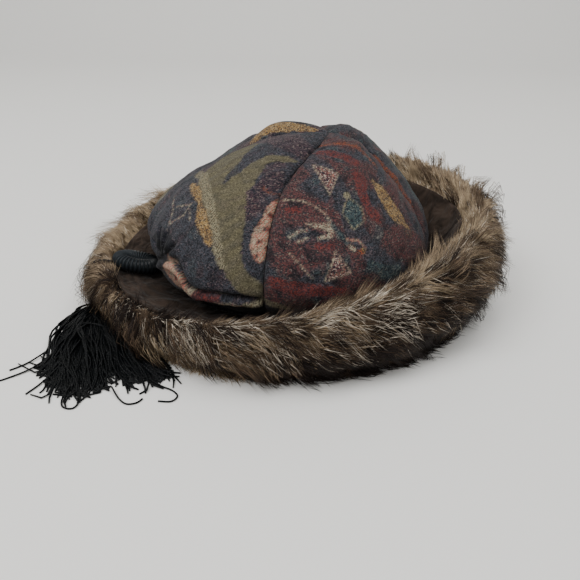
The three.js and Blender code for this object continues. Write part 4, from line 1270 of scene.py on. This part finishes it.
def make_tassel():
    """Loose threads in soft bundles that leave a bound neck, lie in a fan and curl at their ends."""
    draw = np.random.default_rng(91)
    count, length = BUNDLES * THREADS_IN_BUNDLE, 20
    t = np.linspace(0, 1, length)
    bundle = np.repeat(np.arange(BUNDLES), THREADS_IN_BUNDLE)

    def for_bundle(values):
        return values[bundle]

    order = (np.arange(BUNDLES) + draw.uniform(0.1, 0.9, BUNDLES)) / BUNDLES
    order = for_bundle(order) + draw.normal(0, 0.022, count)
    bearing = FAN_FROM + (FAN_TO - FAN_FROM) * order
    leave = bearing + for_bundle(draw.normal(0, BUNDLE_TURN, BUNDLES))
    leave = leave + draw.normal(0, THREAD_TURN, count)
    reach = fan_reach(bearing) * for_bundle(draw.uniform(0.9, 1.02, BUNDLES))
    reach = (reach * draw.uniform(0.84, 1.02, count))[:, None]
    level = np.clip(for_bundle(draw.uniform(0.1, 1, BUNDLES)) + draw.normal(0, 0.12, count), 0, 1)
    start = np.zeros((count, 1, 3))
    for axis in range(2):
        start[:, 0, axis] = NECK_SEAT[axis] + draw.normal(0, NECK_SPREAD[axis], count)
    ahead = polar(1.0, bearing, np.zeros(count))[:, None]
    side = polar(1.0, bearing + 90, np.zeros(count))[:, None]
    swing = np.radians(leave - bearing)[:, None]
    own = draw.uniform(0, 2 * math.pi, (4, count, 1))
    shared = for_bundle(draw.uniform(0, 2 * math.pi, BUNDLES))[:, None]
    sway = for_bundle(draw.uniform(*BUNDLE_SWAY, BUNDLES))[:, None] * MM
    curl = draw.normal(0, 1, count)
    curl = curl * np.where(draw.uniform(0, 1, count) < CURLED_SHARE, FAR_CURL, SLIGHT_CURL) * MM
    curl = curl[:, None]
    across = reach * swing * (t * (1 - t) ** 2) * 1.6
    across = across + SAG * (4 * t * (1 - t))
    across = across + sway * np.sin(shared + 8.5 * t) * (0.25 + t)
    across = across + WAVE_ACROSS * np.sin(own[0] + draw.uniform(12, 26, (count, 1)) * t)
    across = across + curl * np.clip(t - CURL_ACROSS["from"], 0, 1) ** 2 * CURL_ACROSS["steep"]
    forward = reach * t - np.abs(curl) * np.clip(t - CURL_BACK["from"], 0, 1) ** 2 * CURL_BACK["steep"]
    belly = 0.42 + 0.7 * np.sin(np.clip(t * 1.15, 0, 1) * math.pi) ** 0.7
    high = TASSEL_HEIGHT * 0.9 * (0.1 + 0.9 * level)[:, None]
    height = THREAD_DIAMETER / 2 + high * belly * (1 - 0.68 * smoothstep(t, 0.4, 1.0))
    height = height + WAVE_UP * np.sin(own[1] + 15 * t) * np.sin(math.pi * t)
    height = height * (1 - 0.75 * smoothstep(t, 0.9, 1.0))
    paths = start + ahead * forward[..., None] + side * across[..., None]
    paths[..., 2] = np.clip(height, THREAD_DIAMETER * 0.5, TASSEL_HEIGHT)
    paths = paths + AXIS
    radii = THREAD_DIAMETER / 2 * np.repeat(draw.uniform(0.8, 1.1, (count, 1)), length, axis=1)
    radii[:, -1] *= 0.75
    piece = make_threads("tassel_threads", [(paths, radii, 5)])
    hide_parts("tassel")
    return piece


def across_path(path):
    """The level way and the upright way off each point of a path."""
    ahead = unit(np.gradient(path, axis=0))
    level = unit(np.cross(ahead, np.array([0, 0, 1.0])))
    return level, np.cross(level, ahead)


def make_strays():
    """Single threads of the tassel that lie by themselves, its loop and its twisted binding."""
    off = STRAY_RADIUS - 0.05 * MM
    groups = []
    for row in STRAY_THREADS:
        points = np.array(row["path"]) * MM
        path, run = smooth_path(points, max(len(points) * 9, 24))
        if "pitch" in row:
            turns = run / (row["pitch"] * MM)
            path, _ = smooth_path(path, int(turns * 10))
            level, upright = across_path(path)
            angle = np.linspace(0, turns * 2 * math.pi, len(path))[:, None]
            turned = [angle + start for start in (0, math.pi)]
            paths = [path + (np.cos(turn) * level + np.sin(turn) * upright) * off for turn in turned]
        else:
            paths = [path]
        groups += [((one + AXIS)[None], np.full((1, len(one)), STRAY_RADIUS), 6) for one in paths]
    return make_threads("stray_threads", groups)


def make_neck():
    """The bound neck: thread wound round the threads where they leave the cord."""
    sides, length = 8, 200
    t = np.linspace(0, 1, length)
    bearing = math.radians(NECK_BEARING)
    ahead = np.array([math.cos(bearing), math.sin(bearing), 0])
    side = np.array([-ahead[1], ahead[0], 0])
    middle = np.array([*NECK_SEAT, NECK_HEIGHT]) + AXIS
    angle = t * NECK_TURNS * 2 * math.pi
    path = (
        middle
        + np.outer((t - 0.5) * NECK_LENGTH, ahead)
        + np.outer(np.cos(angle) * NECK_RADII[0], side)
        + np.outer(np.sin(angle) * NECK_RADII[1], [0, 0, 1])
    )
    return make_threads("neck_winding", [(path[None], np.full((1, length), NECK_THREAD_RADIUS), sides)])


def smooth_path(points, count):
    """Points evenly spread along a smooth line through the given ones."""
    points = np.asarray(points, float)
    steps = np.linspace(0, len(points) - 1, 400)
    fine = np.stack([smooth_at(points[:, axis], steps) for axis in range(3)], 1)
    run = np.concatenate([[0], np.cumsum(np.linalg.norm(np.diff(fine, axis=0), axis=1))])
    spots = np.linspace(0, run[-1], count)
    return np.stack([np.interp(spots, run, fine[:, axis]) for axis in range(3)], 1), float(run[-1])


def make_cord():
    """The short cord from the knot over the rim to the tassel, pressed into the hair."""
    path, length = smooth_path(np.array(CORD_POINTS) * MM, 36)
    path = path + AXIS
    piece = make_threads("hidden_cord", [(path[None], np.full((1, len(path)), CORD_DIAMETER / 2), 12)])
    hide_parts("tassel_cord")
    return piece


# Materials
# A float of yarn on the cloth's face, in millimetres
FLOAT_WIDE = 0.82
FLOAT_LONG = 0.62


class Shader:
    """A material's nodes, with short ways to add them."""

    def __init__(self, name, inputs):
        self.material = bpy.data.materials.new(name)
        self.material.use_nodes = True
        self.nodes, self.links = self.material.node_tree.nodes, self.material.node_tree.links
        self.surface = self.nodes["Principled BSDF"]
        self.fill(self.surface, inputs)

    def fill(self, node, inputs):
        """Sets a node's inputs. Each takes a value or another node's output."""
        for key, value in inputs.items():
            if isinstance(value, bpy.types.NodeSocket):
                self.links.new(value, node.inputs[key])
            else:
                node.inputs[key].default_value = value

    def add(self, kind, inputs, **settings):
        node = self.nodes.new("ShaderNode" + kind)
        for key, value in settings.items():
            setattr(node, key, value)
        self.fill(node, inputs)
        return node.outputs

    def painted(self, name, output="Color"):
        """What is painted on the mesh under this name."""
        return self.add("Attribute", {}, attribute_name=name)[output]

    def split(self, vector):
        return self.add("SeparateXYZ", {0: vector})

    def math(self, operation, first, second=0.5):
        return self.add("Math", {0: first, 1: second}, operation=operation)[0]

    def ramp(self, value, low, high, to_low=0.0, to_high=1.0):
        """A value from low to high, drawn out to other limits."""
        limits = {"From Min": low, "From Max": high, "To Min": to_low, "To Max": to_high}
        return self.add("MapRange", {"Value": value, **limits})[0]

    def mix(self, first, second, share, blend="MIX"):
        sockets = {6: first, 7: second, 0: share}
        return self.add("Mix", sockets, data_type="RGBA", blend_type=blend)[2]

    def shaded(self, colour, amount):
        return self.mix(colour, amount, 1.0, "MULTIPLY")

    def noise(self, vector, **inputs):
        return self.add("TexNoise", {"Vector": vector, **inputs})

    def waves(self, vector, direction, **inputs):
        inputs = {"Vector": vector, "Detail": 1.0, **inputs}
        return self.add("TexWave", inputs, bands_direction=direction)["Fac"]

    def bump(self, height, strength, distance, **inputs):
        return self.add("Bump", {"Height": height, "Strength": strength, "Distance": distance, **inputs})[0]

    def done(self, colour, normal=None):
        self.links.new(colour, self.surface.inputs["Base Color"])
        if normal:
            self.links.new(normal, self.surface.inputs["Normal"])
        return self.material


def cloth_surface(roughness, specular, sheen_roughness):
    return {
        "Roughness": roughness,
        "Specular IOR Level": specular,
        "Sheen Weight": 0.06,
        "Sheen Roughness": sheen_roughness,
    }


def tapestry_material():
    """Figured weave: each float of yarn is a cell of one of three colours, raised by its ribs, with painted
    light on the ribs and painted shade between them.
    """
    shader = Shader("tapestry", cloth_surface(0.84, 0.15, 0.5))
    colours = [shader.painted("yarn_" + key) for key in ("main", "fleck", "spark")]
    shares = shader.split(shader.painted("weave", "Vector"))
    cloth = shader.painted("cloth", "Vector")
    wobble = shader.noise(cloth, Scale=0.5, Detail=2.0)["Color"]
    moved = {0: wobble, 1: (1.6, 1.6, 0.0), 2: cloth}
    shifted = shader.add("VectorMath", moved, operation="MULTIPLY_ADD")[0]
    fine = {"Scale": (1 / FLOAT_WIDE, 1 / FLOAT_LONG, 1.0), "Vector": shifted}
    cell = shader.add("VectorMath", {0: shader.add("Mapping", fine)[0]}, operation="FLOOR")[0]
    chance = shader.add("TexWhiteNoise", {"Vector": cell}, noise_dimensions="3D")["Color"]
    chances = shader.add("SeparateColor", {0: chance})
    stripes = shader.ramp(shader.waves(cloth, "X", Scale=0.19, Distortion=1.2), 0.35, 0.65, 0.02, 0.95)
    share = shader.add("Mix", {0: shares[2], 2: shares[0], 3: stripes})[0]
    fleck = shader.math("LESS_THAN", chances[0], share)
    spark = shader.math("LESS_THAN", chances[1], shares[1])
    colour = shader.mix(shader.mix(colours[0], colours[1], fleck), colours[2], spark)
    colour = shader.shaded(colour, shader.ramp(chances[2], 0.0, 1.0, 0.72, 1.3))
    weft = shader.waves(shifted, "X", Scale=0.3, Distortion=0.6)
    warp = shader.waves(shifted, "Y", Scale=0.42, Distortion=0.6)
    crossed = shader.math("MULTIPLY", weft, warp)
    relief = shader.math("ADD", crossed, shader.math("MULTIPLY", fleck, 0.6))
    # Painted light and shade of the weave: lighter where the crossed waves raise the floats, darker between
    # them
    colour = shader.shaded(colour, shader.ramp(crossed, 0.0, 1.0, 0.78, 1.16))
    return shader.done(colour, shader.bump(relief, 0.6, 0.3 * MM))


def facing_material():
    """Plain brown cloth with soft puckers, painted light and shade of wrinkles in soft patches, and painted
    shade down in the gap beside the crown.
    """
    shader = Shader("facing_cloth", cloth_surface(0.92, 0.1, 0.4))
    cloth = shader.painted("cloth", "Vector")
    # Soft patches for the painted light and shade of wrinkles
    wrinkle_shading = shader.noise(cloth, Scale=0.065, Detail=3.0, Distortion=1.2)["Fac"]
    grain = shader.noise(cloth, Scale=2.2, Detail=3.0, Roughness=0.7)["Fac"]
    puckers = shader.noise(cloth, Scale=0.075, Detail=2.0, Distortion=0.6)["Fac"]
    darker, lighter = (tuple(value * by for value in screen(*FACING_BROWN)) for by in (0.6, 1.5))
    colour = shader.mix((*darker, 1), (*lighter, 1), shader.ramp(wrinkle_shading, 0.35, 0.65))
    colour = shader.shaded(colour, shader.ramp(grain, 0.3, 0.7, 0.8, 1.2))
    # Painted shade: darker towards the crown, down in the gap beside it
    colour = shader.shaded(colour, shader.ramp(shader.split(cloth)[1], 0.0, 36.0, 0.2, 1.0))
    soft = shader.bump(puckers, 0.9, 5 * MM)
    return shader.done(colour, shader.bump(grain, 0.4, 0.3 * MM, Normal=soft))


def fur_material():
    shader = Shader("fur", {"Roughness": 0.5, "Specular IOR Level": 0.16})
    place = shader.add("TexCoord", {})["Object"]
    speck = shader.noise(place, Scale=260.0, Detail=2.0, Roughness=0.6)["Fac"]
    return shader.done(shader.shaded(shader.painted("fur_tone"), shader.ramp(speck, 0.3, 0.7, 0.75, 1.25)))


def thread_material(name, dark, light):
    """Black satin thread: two plies twisted round each other, with painted light where a ply rises and
    painted shade in the groove.
    """
    shader = Shader(name, {"Roughness": 0.3, "Specular IOR Level": 0.14})
    turns = shader.math("MULTIPLY", shader.painted("strand", "Fac"), 2 * math.pi)
    ply = shader.ramp(shader.math("SINE", turns), -1.0, 1.0)
    # Painted light and shade: light where the ply rises, dark in its groove
    colour = shader.mix((*dark, 1), (*light, 1), ply)
    return shader.done(colour, shader.bump(ply, 0.6, 0.25 * MM))


def floor_material():
    pale = (*screen(240, 239, 236), 1)
    return Shader("floor", {"Base Color": pale, "Roughness": 0.6}).material


# The stage, the camera and the lights
def make_stage():
    """A plain pale floor that runs up behind the hat into a plain wall."""
    half, depth, bend, rise = 3.0, 1.6, 0.5, 2.6
    profile = [(-half, 0.0), (depth - bend, 0.0)]
    for angle in np.linspace(0, math.pi / 2, 13)[1:]:
        profile.append((depth - bend + bend * math.sin(angle), bend - bend * math.cos(angle)))
    profile.append((depth, rise))
    points = [(x, y, z) for y, z in profile for x in (-half, half)]
    faces = [(i * 2, i * 2 + 1, i * 2 + 3, i * 2 + 2) for i in range(len(profile) - 1)]
    mesh = bpy.data.meshes.new("floor")
    mesh.from_pydata(points, [], faces)
    for face in mesh.polygons:
        face.use_smooth = True
    mesh.materials.append(floor_material())
    in_scene("floor", mesh)


def make_camera():
    camera = bpy.data.cameras.new("camera")
    camera.lens = LENS
    camera.sensor_width = SENSOR_WIDTH
    camera.clip_start = 0.01
    holder = in_scene("camera", camera)
    tilt = math.radians(90 - CAMERA_TILT)
    holder.matrix_world = (
        Matrix.Translation(Vector(CAMERA_PLACE) + Vector(AXIS))
        @ Matrix.Rotation(tilt, 4, "X")
        @ Matrix.Rotation(math.radians(CAMERA_ROLL), 4, "Z")
    )
    bpy.context.scene.camera = holder


LIGHTS = table(
    "name place size power",
    ("window", (-0.9, -0.5, 1.5), 1.1, 19),
    ("ceiling", (0.5, -0.1, 1.9), 1.6, 19),
    ("front", (0.3, -1.6, 0.9), 1.4, 6),
)


def make_lights():
    for row in LIGHTS:
        light = bpy.data.lights.new(row["name"], "AREA")
        light.shape = "DISK"
        light.size = row["size"]
        light.energy = row["power"]
        holder = in_scene(row["name"], light)
        holder.location = row["place"]
        holder.rotation_euler = (-Vector(row["place"])).to_track_quat("-Z", "Y").to_euler()
    world = bpy.data.worlds.new("room")
    world.use_nodes = True
    background = world.node_tree.nodes["Background"].inputs
    background["Color"].default_value = (*screen(235, 234, 230), 1)
    background["Strength"].default_value = 0.55
    bpy.context.scene.world = world


def dress(piece, material):
    piece.data.materials.append(material)


make_camera()
# Each pair of colours: painted shade in the grooves and painted light on the plies, and on the knot's ribs
thread = thread_material("thread", screen(4, 5, 6), screen(13, 15, 17))
knot_thread = thread_material("knot_thread", screen(12, 14, 16), screen(44, 49, 53))
dress(make_cord(), thread)
tapestry = tapestry_material()
for gore in GORES:
    dress(make_gore(gore), tapestry)
dress(make_facing(), facing_material())
fur = fur_material()
dress(make_pelt(), fur)
for index, part in enumerate(HAIR_PIECES):
    dress(make_hair(part, 700 + index), fur)
dress(make_knot(), knot_thread)
dress(make_tassel(), thread)
dress(make_strays(), thread)
dress(make_neck(), thread)
make_stage()
make_lights()
